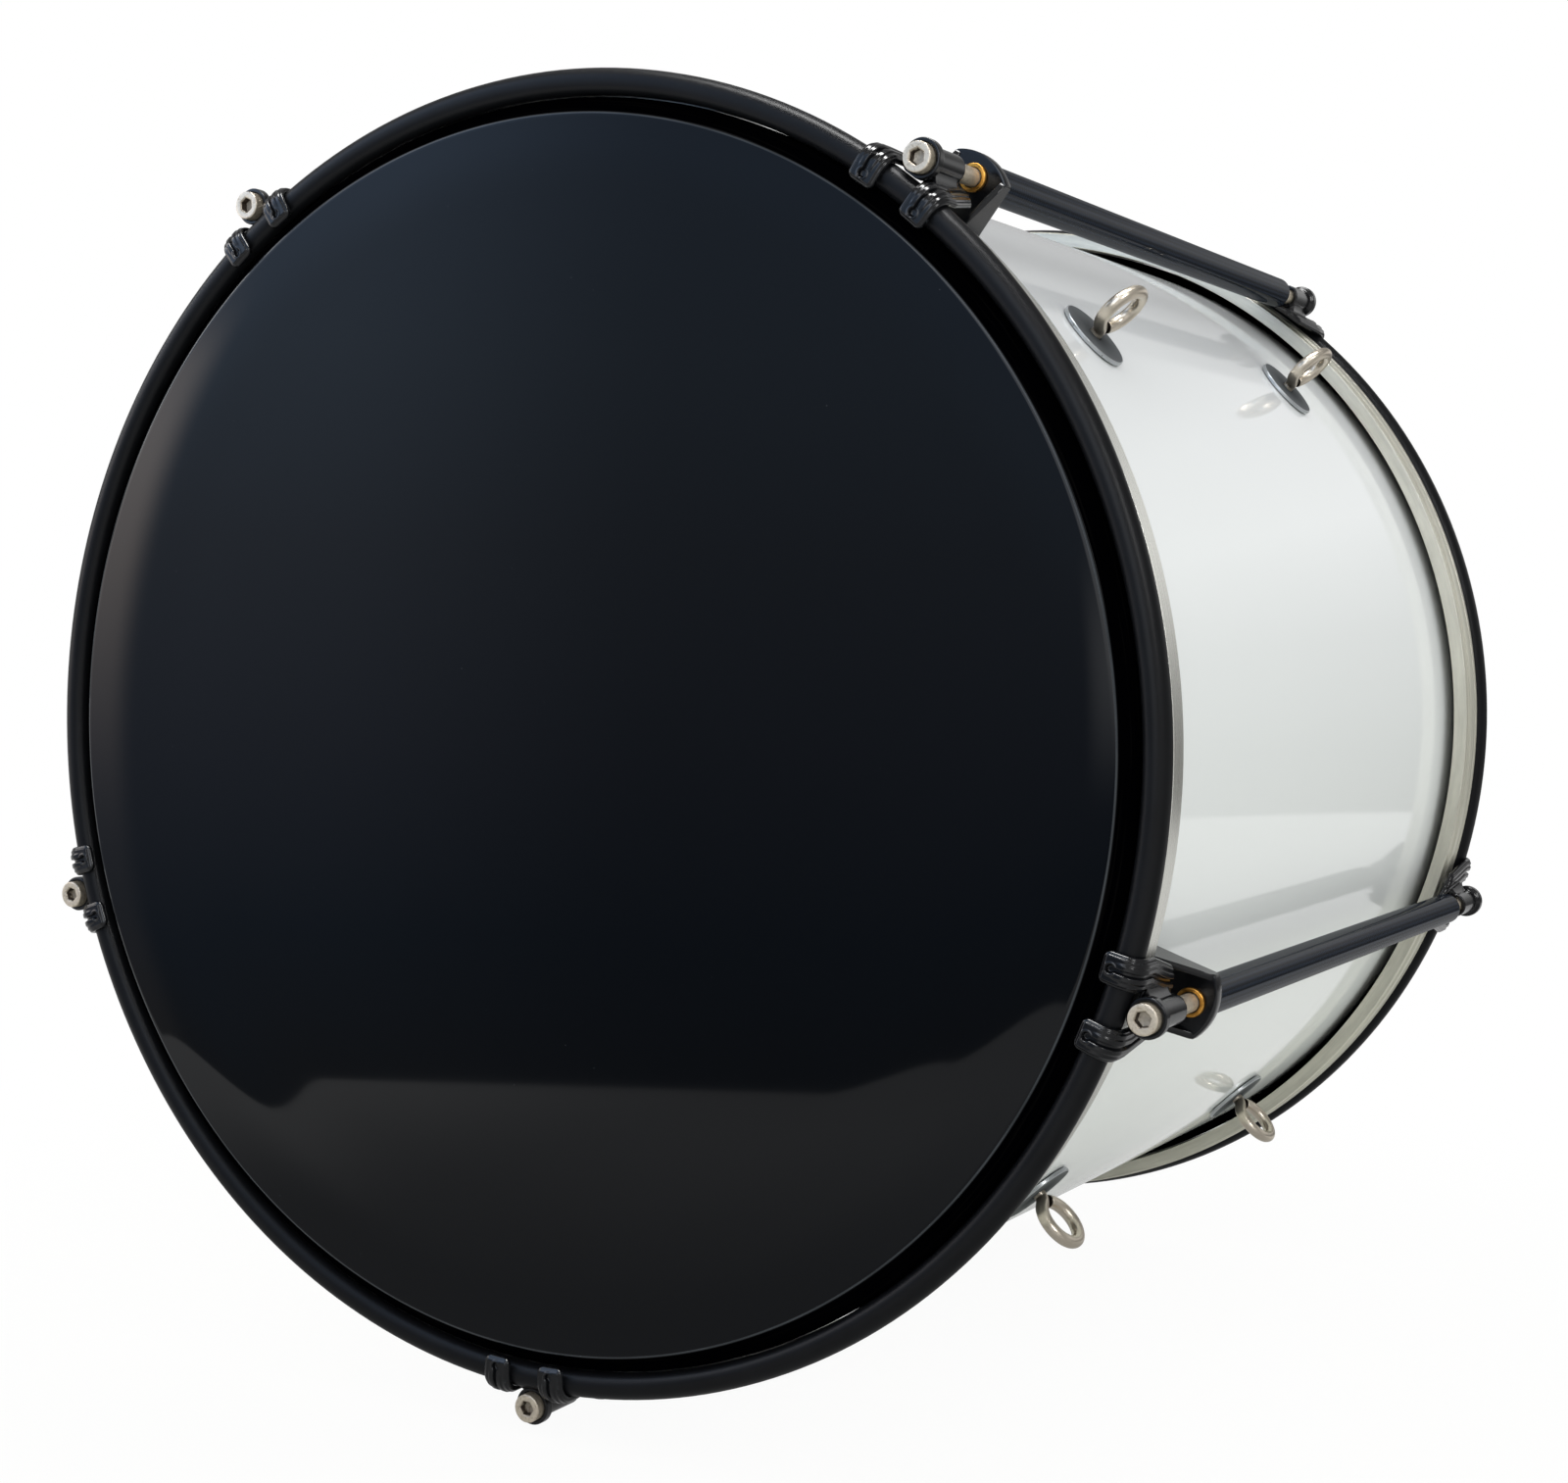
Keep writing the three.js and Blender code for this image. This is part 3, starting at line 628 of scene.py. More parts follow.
def ring_finish(c):
    """Satin aluminium, brushed round the ring: streaks that are long round it and fine across.
    The rear ring is a little duller, with stronger streaks and stains, and is painted darker and
    warmer than the front one, painted shade for the different light on it."""
    r = Recipe("brushed_aluminium")
    radius, y, turn = polar(r)
    rear = r.step(y, -0.05, 0.05)
    lines = r.noise(1.0, 4.0, 0.7, r.join(turn * 5.0, radius * 1500.0, y * 1500.0))
    stain = r.noise(1.0, 5.0, 0.75, r.join(turn * 2.5, radius * 60.0, y * 420.0))
    # Painted shade: the rear ring's tone is darker and warmer than the front one's.
    tone_with_rear_shade = r.mix(rear, tuple(c.ring), linear("C4C2B6"))
    streaks = 0.86 + (0.14 + 0.16 * rear) * lines
    shade = r.scaled(tone_with_rear_shade, streaks + (0.08 + 1.0 * rear) * (stain - 0.5))
    return r.finish(
        shade,
        0.22 + 0.12 * lines + 0.08 * rear,
        r.bump(lines, 0.00002, 0.5),
        Metallic=0.9 - 0.45 * rear,
    )


def hoop_finish(c):
    """Black powder coat on the tube: fine grain, faint rubbed patches on its outermost line."""
    r = Recipe("satin_black_tube")
    radius, _, turn = polar(r)
    grain = r.noise(1500.0, 2.0)
    rubbed = r.noise(1.0, 4.0, 0.65, r.join(turn * 14.0, radius * 60.0, 0.0))
    shade = r.scaled(tuple(c.hoop), 0.7 + 0.6 * rubbed)
    rough = 0.30 + 0.08 * grain + 0.08 * rubbed
    return r.finish(shade, rough, r.bump(grain, 0.00002, 0.4), Specular_IOR_Level=0.15)


def casting_finish(c):
    """Black gloss paint over a die casting: a slight peel, shine that varies, and a few edges
    painted grey, partly rubbed paint and partly painted highlights."""
    r = Recipe("painted_casting")
    peel = r.noise(600.0, 3.0, 0.6)
    patch = r.noise(90.0, 3.0)
    # Painted grey on the straps' rims and steps: partly rubbed paint, partly painted highlight.
    edge = r.soil() * r.step(r.noise(420.0, 3.0, 0.7), 0.52, 0.72)
    shade = r.mix(edge * 0.25, r.scaled(tuple(c.casting), 0.7 + 0.6 * patch), linear("5A5F66"))
    rough = 0.09 + 0.10 * patch + 0.05 * peel
    return r.finish(shade, rough, r.bump(peel, 0.00004, 0.6), Specular_IOR_Level=0.38)


def steel_finish(c):
    """Bright zinc on steel: pitting, patches that shine less, and brown where each point's number
    from the mesh says: grime on the head, grime and painted shade in the socket."""
    r = Recipe("bright_steel")
    pits = r.noise(900.0, 4.0, 0.7)
    patch = r.noise(250.0, 3.0)
    # Brown grime, and painted shade in the socket.
    grime_and_shade = r.soil() * r.step(r.noise(420.0, 3.0, 0.6), 0.2, 0.5)
    stain = r.step(r.noise(520.0, 4.0, 0.7), 0.52, 0.66)
    clean = r.mix(stain * 0.55, r.scaled(tuple(c.steel), 0.62 + 0.56 * pits), linear("8A7A63"))
    shade = r.mix(grime_and_shade, clean, tuple(c.grime_and_shade))
    rough = 0.30 + 0.14 * patch + 0.25 * grime_and_shade
    metal = 0.6 - 0.45 * grime_and_shade
    return r.finish(shade, rough, r.bump(pits, 0.0001), Metallic=metal)


def weave_finish(c):
    """Woven fibre under clear lacquer. With p = (u + v)/pitch and q = (u - v)/pitch, strands cross
    where floor(p) + floor(q) is even or odd, and each stands up as |sin πp| or |sin πq|."""
    r = Recipe("woven_fibre")
    u, v, _ = r.xyz(r.node("ShaderNodeUVMap", {"uv_map": "wrap"}))
    pitch = 2.2
    p, q = (u + v) / pitch, (u - v) / pitch
    over = (r.math("FLOOR", p) + r.math("FLOOR", q)) % 2.0
    up = over * abs(r.math("SINE", p * math.pi)) + (1 - over) * abs(r.math("SINE", q * math.pi))
    cloud = r.noise(30.0, 3.0)
    shade = r.scaled(tuple(c.weave), 0.1 + 0.9 * up + 2.2 * over + 0.3 * cloud)
    rough = 0.42 - 0.1 * over
    return r.finish(
        shade,
        rough,
        r.bump(up, 0.00004, 0.5),
        Specular_IOR_Level=0.0,
        Coat_Weight=0.34,
        Coat_Roughness=0.03,
    )


def brass_finish(c):
    """Turned brass with fine rings and a little tarnish, and a bush's bore painted dark brown as
    painted shade.
    """
    r = Recipe("turned_brass")
    tarnish = r.noise(260.0, 4.0, 0.6)
    fine = r.noise(1800.0, 2.0)
    shade = r.mix(r.step(tarnish, 0.45, 0.7), tuple(c.brass), linear("8A5A20"))
    # Painted shade: the marked bore turns dark brown.
    shade = r.mix(r.soil() * 0.7, shade, linear("2A1B0C"))
    rough = 0.2 + 0.2 * tarnish
    return r.finish(shade, rough, r.bump(fine, 0.00003, 0.6), Metallic=0.95)


def nickel_finish(c):
    """Nickel plate: warm, shiny, faintly rippled by drawing, with a dull cut end."""
    r = Recipe("warm_nickel")
    ripple = r.noise(160.0, 2.0)
    spot = r.noise(1200.0, 3.0, 0.7)
    cut = r.soil()
    shade = r.mix(cut, r.scaled(tuple(c.nickel), 0.86 + 0.2 * spot), linear("2B2623"))
    rough = 0.25 + 0.12 * spot + 0.3 * cut
    return r.finish(shade, rough, r.bump(ripple, 0.0001, 0.4), Metallic=0.95)


def washer_finish(c):
    """Blue-grey zinc washer: a dull blotched face and a bright rubbed edge."""
    r = Recipe("zinc_washer")
    blotch = r.noise(130.0, 4.0, 0.6)
    fine = r.noise(1500.0, 2.0)
    face = r.scaled(tuple(c.washer), 0.7 + 0.6 * blotch)
    shade = r.mix(r.soil(), face, linear("B4B8BB"))
    return r.finish(
        shade,
        0.34 + 0.15 * blotch - 0.12 * r.soil(),
        r.bump(fine, 0.00002, 0.6),
        Metallic=0.75 * r.soil(),
        Specular_IOR_Level=0.0,
    )


FINISHES = {
    "shell": shell_finish,
    "film": film_finish,
    "ring": ring_finish,
    "hoop": hoop_finish,
    "casting": casting_finish,
    "steel": steel_finish,
    "weave": weave_finish,
    "brass": brass_finish,
    "nickel": nickel_finish,
    "washer": washer_finish,
}
MADE_FINISHES = {}


def finish_of(context, name):
    """The material of that finish, made the first time it is asked for."""
    if name not in MADE_FINISHES:
        MADE_FINISHES[name] = FINISHES[name](context.scene.drum_colours)
    return MADE_FINISHES[name]


# ---------------------------------------------------------------- shapes


def shell_shape(s):
    """Tube with a bearing edge at each end: cut at 45 degrees inside the crown, eased outside."""
    inner, crown_in = s.shell_radius - s.shell_wall, 3.4
    ease, cut = s.shell_end - 3.0, s.shell_end - 3.6
    half = [[s.shell_radius, ease], [s.shell_radius - crown_in, s.shell_end], [inner, cut]]
    profile = [[r, -y] for r, y in reversed(half)] + half
    return [Skin(lathe(eased(profile, [0.5, 0.8, 1.5, 1.5, 0.8, 0.5]), DRUM_COLUMNS), ring=True)]


def head_shape(s):
    """Film: flat to the crown, rounded over it into a sloping collar, then a skirt."""
    face, back, skirt_end = s.film_face, s.film_face - s.film, s.film_face - 16.0
    crown, fold = 276.4, s.flesh_outer - s.flesh_wall - SEAT_GAP
    over = [[crown, face], [fold, face - 7.0], [fold, skirt_end]]
    within = fold - 0.7
    under = [[within, skirt_end], [within, face - 7.3], [crown - 0.2, back], [268.0, back]]
    flat = np.stack([[8, 80, 150, 200, 230, 250, 266], [face] * 7], axis=1)
    outer = eased(np.vstack([flat, over]), [0] * 7 + [1.4, 2.2, 0], 6, False)
    inner = eased(np.vstack([under, [[8.0, back]]]), [0, 2.0, 1.2, 0, 0], 6, False)
    return [Skin(lathe(np.vstack([outer, inner]), FILM_COLUMNS))]


def flesh_ring_shape(s):
    """Extruded ring: a lower band, a step, a broad band with a fine groove, an eased front."""
    out, low, high = s.flesh_outer, s.flesh_low, s.flesh_high
    inner, band, groove = out - s.flesh_wall, out - 1.1, out - 0.5
    lower = [[inner, low], [band, low], [band, low + 5.4], [out, low + 6.5]]
    middle = [[out, high - 5.4], [groove, high - 5.1], [groove, high - 4.3], [out, high - 4.0]]
    profile = lower + middle + [[out, high - 0.8], [out - 0.8, high], [inner, high]]
    radii = [0.3, 0.5, 0.4, 0.4, 0.05, 0.05, 0.05, 0.05, 0.4, 0.4, 0.3]
    return [Skin(lathe(eased(profile, radii, 3), DRUM_COLUMNS), ring=True)]


def hoop_shape(s):
    """Tube bent to a circle: a round section of 28 points carried round the drum."""
    a = np.linspace(0, 2 * np.pi, 28, endpoint=False)
    out, along = s.hoop_tube * np.cos(a), s.hoop_tube * np.sin(a)
    circle = np.stack([s.hoop_radius + out, s.hoop_y + along], axis=1)
    return [Skin(lathe(circle, DRUM_COLUMNS), ring=True)]


def strap_relief(t, v, edge, past, full):
    """Height of a strap's face over its base, with t from its tip, past to its tail's end and v
    from its middle line: a low border, a shoulder inside it, two ribs that rise slowly from the
    tip with a groove between them, and a round dimple in a slight ring at t = 4.6. Its rims are
    rounded as quarter circles, (1 - (1 - d)²)^½ with d the distance from the rim in radii."""
    shoulder = smooth(edge, 1.1, 2.0) * smooth(t, 0.9, 2.2)
    rib = smooth(edge, 3.3, 4.2) * smooth(t, 5.0, 11.0)
    reach = np.hypot(t - 4.6, v)
    groove = (1 - smooth(np.abs(v), 0.45, 1.25)) * smooth(t, 4.6, 5.2)
    dimple = 1 - smooth(reach, 1.2, 2.1)
    ring = np.exp(-(((reach - 2.4) / 0.45) ** 2)) * (1 - groove) * (1 - rib)
    height = full - 1.3 + 0.7 * shoulder + 0.6 * rib + 0.25 * ring
    height = height - np.maximum(1.6 * groove, 1.8 * dimple)

    def rim(distance, radius):
        """From 0 at a rim to 1 at its radius from it."""
        return np.sqrt(np.clip(1 - (1 - np.clip(distance / radius, 0, 1)) ** 2, 0, 1))

    height = height * (0.3 + 0.7 * rim(edge, 1.2)) * (0.2 + 0.8 * rim(t, 2.4))
    return height * (0.3 + 0.7 * rim(past, 2.2))


def strap_shape(s, side):
    """One strap of a claw, from its tip behind the film, round the hoop's tube and down the tail.

    Along it, t is the distance from the tip. Its base line B and outward direction N are: straight
    behind the film, B = (tip + t, hoop) and N = (0, 1); a quarter turn, B = hoop centre and
    N = (sin a, cos a); then straight down, B = (hoop, y) and N = (1, 0). Across it, v is the
    distance from its middle line, up to 7, and its tip's corners are quarter circles of 3.4.
    A point is B + N(clearance + H(t, v)), swung round the drum's axis by (middle + v)/radius.
    The tail is drawn in towards the screw's line, and its end is cut on a slant."""
    turn_length = 0.5 * np.pi * (s.hoop_tube + s.claw_clear + s.claw_strap / 2)
    straight, run_end = 8.0, 30.0
    tip_rim, end_rim, side_points = 2.4, 2.5, 9
    t = np.concatenate(
        [
            tip_rim * np.linspace(0, 1, 12)[:-1] ** 1.8,
            np.linspace(tip_rim, straight, 27)[:-1],
            straight + np.linspace(0, turn_length, 25)[:-1],
            straight + turn_length + np.linspace(0, run_end - end_rim, 36),
            straight + turn_length + run_end - end_rim * np.linspace(0.9, 0, 9) ** 1.5,
        ]
    )[:, None]
    tip = s.hoop_radius - straight
    a = np.clip((t - straight) / turn_length, 0, 1) * np.pi / 2
    down = np.clip(t - straight - turn_length, 0, None)
    base_r = np.clip(tip + t, None, s.hoop_radius)
    base_y = s.hoop_y - down

    widest, corner = 7.0, 3.4
    round_off = 1 - np.clip(t / corner, 0, 1)
    half = widest - corner * (1 - np.sqrt(1 - round_off**2))
    middle = 14.8 - 6.0 * np.clip((down - 6.0) / 24.0, 0, 1)
    u = np.linspace(-1, 1, 71)
    u = (0.8 * u + 0.2 * np.sin(u * np.pi / 2))[None, :]
    v = half * u
    edge = half - np.abs(v)
    height = strap_relief(t, v, edge, t[-1] - t, s.claw_strap)

    inner_u = np.linspace(0.94, -0.94, side_points)[None, :]
    v_all = np.hstack([v, half * inner_u])
    h_all = np.hstack([height, np.zeros((len(t), side_points))])
    lift = s.hoop_tube + s.claw_clear + h_all
    radius = base_r + np.sin(a) * lift
    y = base_y + np.cos(a) * lift
    across = side * (middle + v_all)
    slant = smooth(down, 22.0, run_end) * 0.5556
    y = y + slant * (middle + v_all - 15.6)
    swing = across / s.hoop_radius
    grid = np.stack([radius * np.cos(swing), y, radius * np.sin(swing)], axis=2)
    # Marks the strap's rim and the shoulder's step, which the casting finish paints grey: partly
    # rubbed paint, partly painted highlight.
    edge_highlight = np.exp(-(((edge - 1.7) / 0.3) ** 2)) + np.exp(-((edge / 0.4) ** 2))
    soil = np.hstack([np.clip(edge_highlight, 0, 1), np.zeros((len(t), side_points))])
    return Skin(grid, soil=soil)


def claw_web_shape(s):
    """The plate between a claw's two straps, curved with the drum: radius = strap's inside + h,
    with half-width narrowing from 9 to 2.8 down the tail, and its lower end blunt."""
    down = np.array([6.0, 6.3, 7.0, 14.0, 22.0, 30.0, 34.5, 36.6, 37.0])[:, None]
    half = 9.0 - 6.2 * np.clip((down - 6.0) / 31.0, 0, 1)
    u = np.linspace(-1, 1, 13)[None, :]
    ends = np.array([0.4, 0.85, 1, 1, 1, 1, 1, 0.85, 0.4])[:, None]
    inner = s.hoop_radius + s.hoop_tube + s.claw_clear
    high = inner + 2.7 * ends + 0 * u
    low = inner + 0.1 + 0 * high
    radius = np.hstack([high, low[:, ::-1]])
    across = np.hstack([half * u, half * u[:, ::-1]])
    y = s.hoop_y - down + 0 * radius
    swing = across / s.hoop_radius
    return Skin(np.stack([radius * np.cos(swing), y, radius * np.sin(swing)], axis=2))


def claw_boss_shape(s):
    """Boss and flange turned about the screw's line, with a bore and a sunk seat for the head. The
    flange is cut flat where it meets the hoop: x is kept no less than the strap's inside."""
    front = s.hoop_y + 0.7
    low, seat = front - 29.0, front - 4.0
    boss, flange, sink = 6.4, 8.6, 6.9
    outside = [[BORE, low], [boss, low], [boss, front - 5.6], [flange, front - 4.4]]
    profile = outside + [[flange, front], [sink, front], [sink, seat], [BORE, seat]]
    points = eased(profile, [0.3, 0.7, 0.6, 0.5, 0.7, 0.3, 0.2, 0.2], 4)
    grid = lathe(points, TURNED_COLUMNS, s.screw_axis)
    grid[..., 0] = np.maximum(grid[..., 0], s.hoop_radius + s.hoop_tube + s.claw_clear)
    return Skin(grid, ring=True)


def claw_cheek_shape(s, side):
    """One cheek of the cast saddle that carries the boss on the tail, along the boss, with its
    ends sloped. Its outside is 9.6 from the middle at the tail, drawn in to 5.2 beside the boss;
    its inside keeps clear of the bore, z = (4.9² - (x - screw's line)²)^½."""
    up = np.array([299.6, 300.6, 302.0, 304.2, 306.2])[:, None, None]
    half = np.array([9.6, 8.2, 6.9, 5.9, 5.2])[:, None, None]
    near = np.sqrt(np.clip((BORE + 0.5) ** 2 - (up - s.screw_axis) ** 2, 0.04, None))
    top, bottom = s.hoop_y - 5.0, s.hoop_y - 27.0
    corners = [[-1, bottom], [1, bottom], [1, top], [-1, top]]
    edge = resampled(eased(corners, 0.3, 4), 48)[None]
    z = side * (near + (half - near) * (edge[..., :1] + 1) / 2)
    centre = (top + bottom) / 2
    y = centre + (edge[..., 1:] - centre) * (1.06 - 0.035 * (up - 299.6))
    return Skin(np.concatenate([up + 0 * z, y, z], axis=2))


def claw_shape(s):
    """Two straps, the web between them, the saddle's two cheeks and the bored boss."""
    pairs = [shape(s, side) for shape in (strap_shape, claw_cheek_shape) for side in (-1, 1)]
    return [*pairs, claw_web_shape(s), claw_boss_shape(s)]


def screw_shape(s):
    """Cap screw about its own line. The head's side is knurled: r = R - 0.3(1 - |cos 30a|)·k,
    with k fading to the rims. Its socket is a hexagon, r = flat / cos(a - nearest flat), with a
    chamfered mouth, walls painted dark as grime and painted shade, and a lighter floor."""
    columns = 240
    a = np.linspace(0, 2 * np.pi, columns, endpoint=False)
    face, head_low = s.screw_face, s.screw_face - 8.0
    head, shank = s.screw_head, s.screw_radius
    tip = [(shank - 1.0, 0.0), (shank, 1.0), (shank, 1.4)]
    rows = [(r, s.screw_tip + h, 0.0, 0.0) for r, h in tip]
    rows += [
        (shank, head_low - 1.0, 0.0, 0.0),
        (shank, head_low, 0.0, 0.3),
        (head - 0.3, head_low, 0.0, 0.3),
        (head, head_low + 0.3, 0.0, 0.3),
        (head, head_low + 0.6, 1.0, 0.3),
        (head, face - 1.3, 1.0, 0.3),
        (head, face - 0.8, 0.3, 0.1),
        (head, face - 0.6, 0.1, 0.0),
        (head - 0.1, face - 0.3, 0.0, 0.0),
        (head - 0.35, face - 0.08, 0.0, 0.0),
        (head - 0.7, face, 0.0, 0.0),
        (head - 1.0, face, 0.0, 0.0),
    ]
    r, h, knurl, soil = (np.array(part)[:, None] for part in zip(*rows))
    body = r - 0.3 * knurl * (1 - np.abs(np.cos(30 * a)))
    flat = s.hex_key / 2
    nearest = (a + np.pi / 6) % (np.pi / 3) - np.pi / 6
    hexagon = flat / np.cos(nearest)
    # The third number darkens the socket: most on its walls, grime and painted shade, less on its
    # floor.
    inside = [
        (0.85, face, 0.1),
        (0.6, face - 0.03, 0.3),
        (0.08, face - 0.5, 0.5),
        (0.0, face - 0.8, 1.0),
        (0.0, face - 3.7, 1.0),
        (0.0, face - 3.9, 0.7),
        (-0.3, face - 4.0, 0.35),
        (-1.4, face - 4.2, 0.25),
    ]
    extra, depth, dark = (np.array(part)[:, None] for part in zip(*inside))
    socket = hexagon + extra
    radius = np.vstack([body, socket])
    height = np.vstack([h + 0 * a, depth + 0 * a])
    grid = np.stack([s.screw_axis + radius * np.cos(a), height, radius * np.sin(a)], axis=2)
    return [Skin(grid, soil=np.vstack([soil, dark]))]


def tube_shape(s):
    """Lug tube with a coned rear end, and a UV map in mm for its weave."""
    r, bore, low, high = s.tube_radius, s.tube_bore, s.tube_front, s.tube_rear
    profile = [[bore, low], [r, low], [r, high - 3.0], [r - 1.21, high], [bore, high]]
    points = eased(profile, [0.2, 0.4, 0.8, 0.3, 0.2], 4)
    span = (2 * np.pi * r / TUBE_COLUMNS, points[:, 1])
    return [Skin(lathe(points, TUBE_COLUMNS, s.screw_axis), ring=True, span=span)]


def bracket_shape(s):
    """Plate with a crowned outer edge, a foot that fits the shell and a hole for the bush, and two
    side gussets that reach towards the head."""
    half, foot, corner, crest = 14.5, s.shell_radius + SEAT_GAP, 310.5, 315.3
    a = np.radians(np.linspace(-2.97, 2.97, 9))[:, None]
    base = np.hstack([foot * np.cos(a), foot * np.sin(a)])
    sag = crest - corner
    bow = (half**2 + sag**2) / (2 * sag)
    reach = math.asin(half / bow)
    b = np.linspace(reach, -reach, 15)[:, None]
    crown = np.hstack([crest - bow + bow * np.cos(b), bow * np.sin(b)])
    outline = np.vstack([base, crown])
    hole = (s.screw_axis, 0.0, SLEEVE + SEAT_GAP)
    plate = rounded_plate(outline, PLATE_LOW, PLATE_HIGH, 0.7, hole, 128)
    skins = [Skin(plate[..., [0, 2, 1]], ring=True)]
    toes = [[291.2, PLATE_HIGH + 10.5], [foot, PLATE_HIGH + 15.5]]
    side = [[foot, PLATE_LOW], [corner, PLATE_LOW], [corner, PLATE_HIGH], *toes]
    side = eased(side, [0.3, 0.8, 0.8, 2.5, 1.5], 5)
    thick = 1.4
    for way in (-1, 1):
        middle = way * (half - thick)
        skins.append(Skin(rounded_plate(side, middle - thick, middle + thick, 0.5)))
    return skins


def bush_shape(s):
    """Front bush: a rounded flange on the bracket and a sleeve through it, its bore painted dark
    as painted shade.
    """
    low, seat, face, flange = 176.1, PLATE_HIGH + SEAT_GAP, 199.5, 6.3
    sleeve = [[BORE, low], [SLEEVE, low], [SLEEVE, seat]]
    profile = sleeve + [[flange, seat], [flange, face], [BORE, face]]
    points = eased(profile, [0.2, 0.3, 0.1, 0.3, 0.9, 0.3], 5)
    # The bore is marked for painted shade.
    soil = (points[:, :1] < BORE + 0.2).astype(float)
    return [Skin(lathe(points, TURNED_COLUMNS, s.screw_axis), ring=True, soil=soil)]


def insert_shape(s):
    """Rear insert: a sleeve just proud of the tube."""
    low, high = s.tube_rear - 16.0, s.tube_rear + 0.6
    profile = [[BORE, low], [SLEEVE, low], [SLEEVE, high], [BORE, high]]
    points = eased(profile, [0.2, 0.3, 0.3, 0.2], 4)
    return [Skin(lathe(points, TUBE_COLUMNS, s.screw_axis), ring=True)]


def eye_shape(s):
    """Eye bolt: a rod of radius r along a flat path. The shank is straight; a cubic
    (2w³-3w²+1)p + (w³-2w²+w)m + (3w²-2w³)q + (w³-w²)n leans it to the front; the ring is
    (centre + R sin g, R cos g) from g = 235° down to -74°. Its cut end is chamfered and dark."""
    root, start, pull = 262.4, np.array([282.7, 0.0]), 8.5
    g = np.radians(np.linspace(235, -74, 73))[:, None]
    ring = np.hstack([s.eye_rise + s.eye_ring * np.sin(g), s.eye_ring * np.cos(g)])
    w = np.linspace(0, 1, 13)[:-1, None]
    leave = np.array([pull, 0.0])
    join = pull * np.array([-np.cos(g[0, 0]), np.sin(g[0, 0])])
    lean = (
        (2 * w**3 - 3 * w**2 + 1) * start
        + (w**3 - 2 * w**2 + w) * leave
        + (3 * w**2 - 2 * w**3) * ring[0]
        + (w**3 - w**2) * join
    )
    shank = np.stack([np.linspace(root, start[0] - 0.5, 7), np.zeros(7)], axis=1)
    path = np.vstack([shank, lean, ring])
    radius = np.full(len(path), s.eye_rod)
    end_way = path[-1] - path[-2]
    end_way /= np.linalg.norm(end_way)
    path = np.vstack([path, path[-1] + end_way * 0.35, path[-1] + end_way * 0.36])
    radius = np.append(radius, [s.eye_rod - 0.35, s.eye_rod - 0.7])
    soil = np.zeros((len(path), 1))
    soil[-2:] = 1
    return [Skin(swept(path, radius, 32), soil=soil)]


def washer_shape(s):
    """Flat washer about the eye's own line: [r, h] turned with x = h, y = r cos a, z = r sin a."""
    low, high, hole, out = s.shell_radius + SEAT_GAP, s.shell_radius + 2.1, 3.4, 17.5
    profile = [[hole, low], [out, low], [out, high], [hole, high]]
    points = eased(profile, [0.2, 0.3, 0.45, 0.2], 4)
    grid = lathe(points, 96)[..., [1, 0, 2]]
    soil = smooth(points[:, :1], out - 0.8, out - 0.3)
    return [Skin(grid, ring=True, soil=soil)]


def carried(skins, deg, front=False, shift=0.0):
    """The same closed surfaces at another place on the drum."""
    return [Skin(placed(k.grid, deg, front, shift), k.ring, k.soil, k.span) for k in skins]


def at_lugs(stem, front=False):
    """Name, angle and end of a piece at each lug."""
    return [(f"{stem}_{i + 1}", FIRST_LUG_DEG + i * LUG_STEP_DEG, front) for i in range(LUGS)]


def at_ends(stem):
    """Name, angle and end of a piece at each end of the drum."""
    return [(f"{stem}_{end}", 0.0, front) for end, front in ENDS]


def at_all(stem):
    """Name, angle and end of a piece at each lug's two ends."""
    return [place for name, _, front in at_ends(stem) for place in at_lugs(name, front)]


def make_set(context, skins, places, finish, sharp_deg=SHARP_DEG):
    """Makes the same shape at each of its places."""
    for name, deg, front in places:
        moved = carried(skins, deg, front)
        make_piece(name, moved, finish_of(context, finish), sharp_deg)
    return {"FINISHED"}


# ---------------------------------------------------------------- operators


class MakeShell(bpy.types.Operator):
    """Makes the drum's shell"""

    bl_idname = "drum.make_shell"
    bl_label = "Shell"

    def execute(self, context):
        """One tube with its bearing edges."""
        shape = shell_shape(sizes(context))
        return make_set(context, shape, [("shell", 0.0, False)], "shell")


class MakeHeads(bpy.types.Operator):
    """Makes the two heads"""

    bl_idname = "drum.make_heads"
    bl_label = "Heads"

    def execute(self, context):
        """A film for each end."""
        shape = head_shape(sizes(context))
        return make_set(context, shape, at_ends("head"), "film")


class MakeFleshRings(bpy.types.Operator):
    """Makes the two flesh rings"""

    bl_idname = "drum.make_flesh_rings"
    bl_label = "Flesh rings"

    def execute(self, context):
        """A ring for each end."""
        shape = flesh_ring_shape(sizes(context))
        return make_set(context, shape, at_ends("flesh_ring"), "ring")


class MakeHoops(bpy.types.Operator):
    """Makes the two tubular hoops"""

    bl_idname = "drum.make_hoops"
    bl_label = "Hoops"

    def execute(self, context):
        """A hoop for each end."""
        shape = hoop_shape(sizes(context))
        return make_set(context, shape, at_ends("hoop"), "hoop")


class MakeClaws(bpy.types.Operator):
    """Makes the ten claws"""

    bl_idname = "drum.make_claws"
    bl_label = "Claws"

    def execute(self, context):
        """Five for each end."""
        shape = claw_shape(sizes(context))
        return make_set(context, shape, at_all("claw"), "casting", 50.0)


class MakeScrews(bpy.types.Operator):
    """Makes the ten tension screws"""

    bl_idname = "drum.make_screws"
    bl_label = "Tension screws"

    def execute(self, context):
        """Five for each end."""
        shape = screw_shape(sizes(context))
        return make_set(context, shape, at_all("screw"), "steel")


class MakeTubes(bpy.types.Operator):
    """Makes the five lug tubes"""

    bl_idname = "drum.make_tubes"
    bl_label = "Lug tubes"

    def execute(self, context):
        """One for each lug."""
        shape = tube_shape(sizes(context))
        return make_set(context, shape, at_lugs("lug_tube"), "weave")


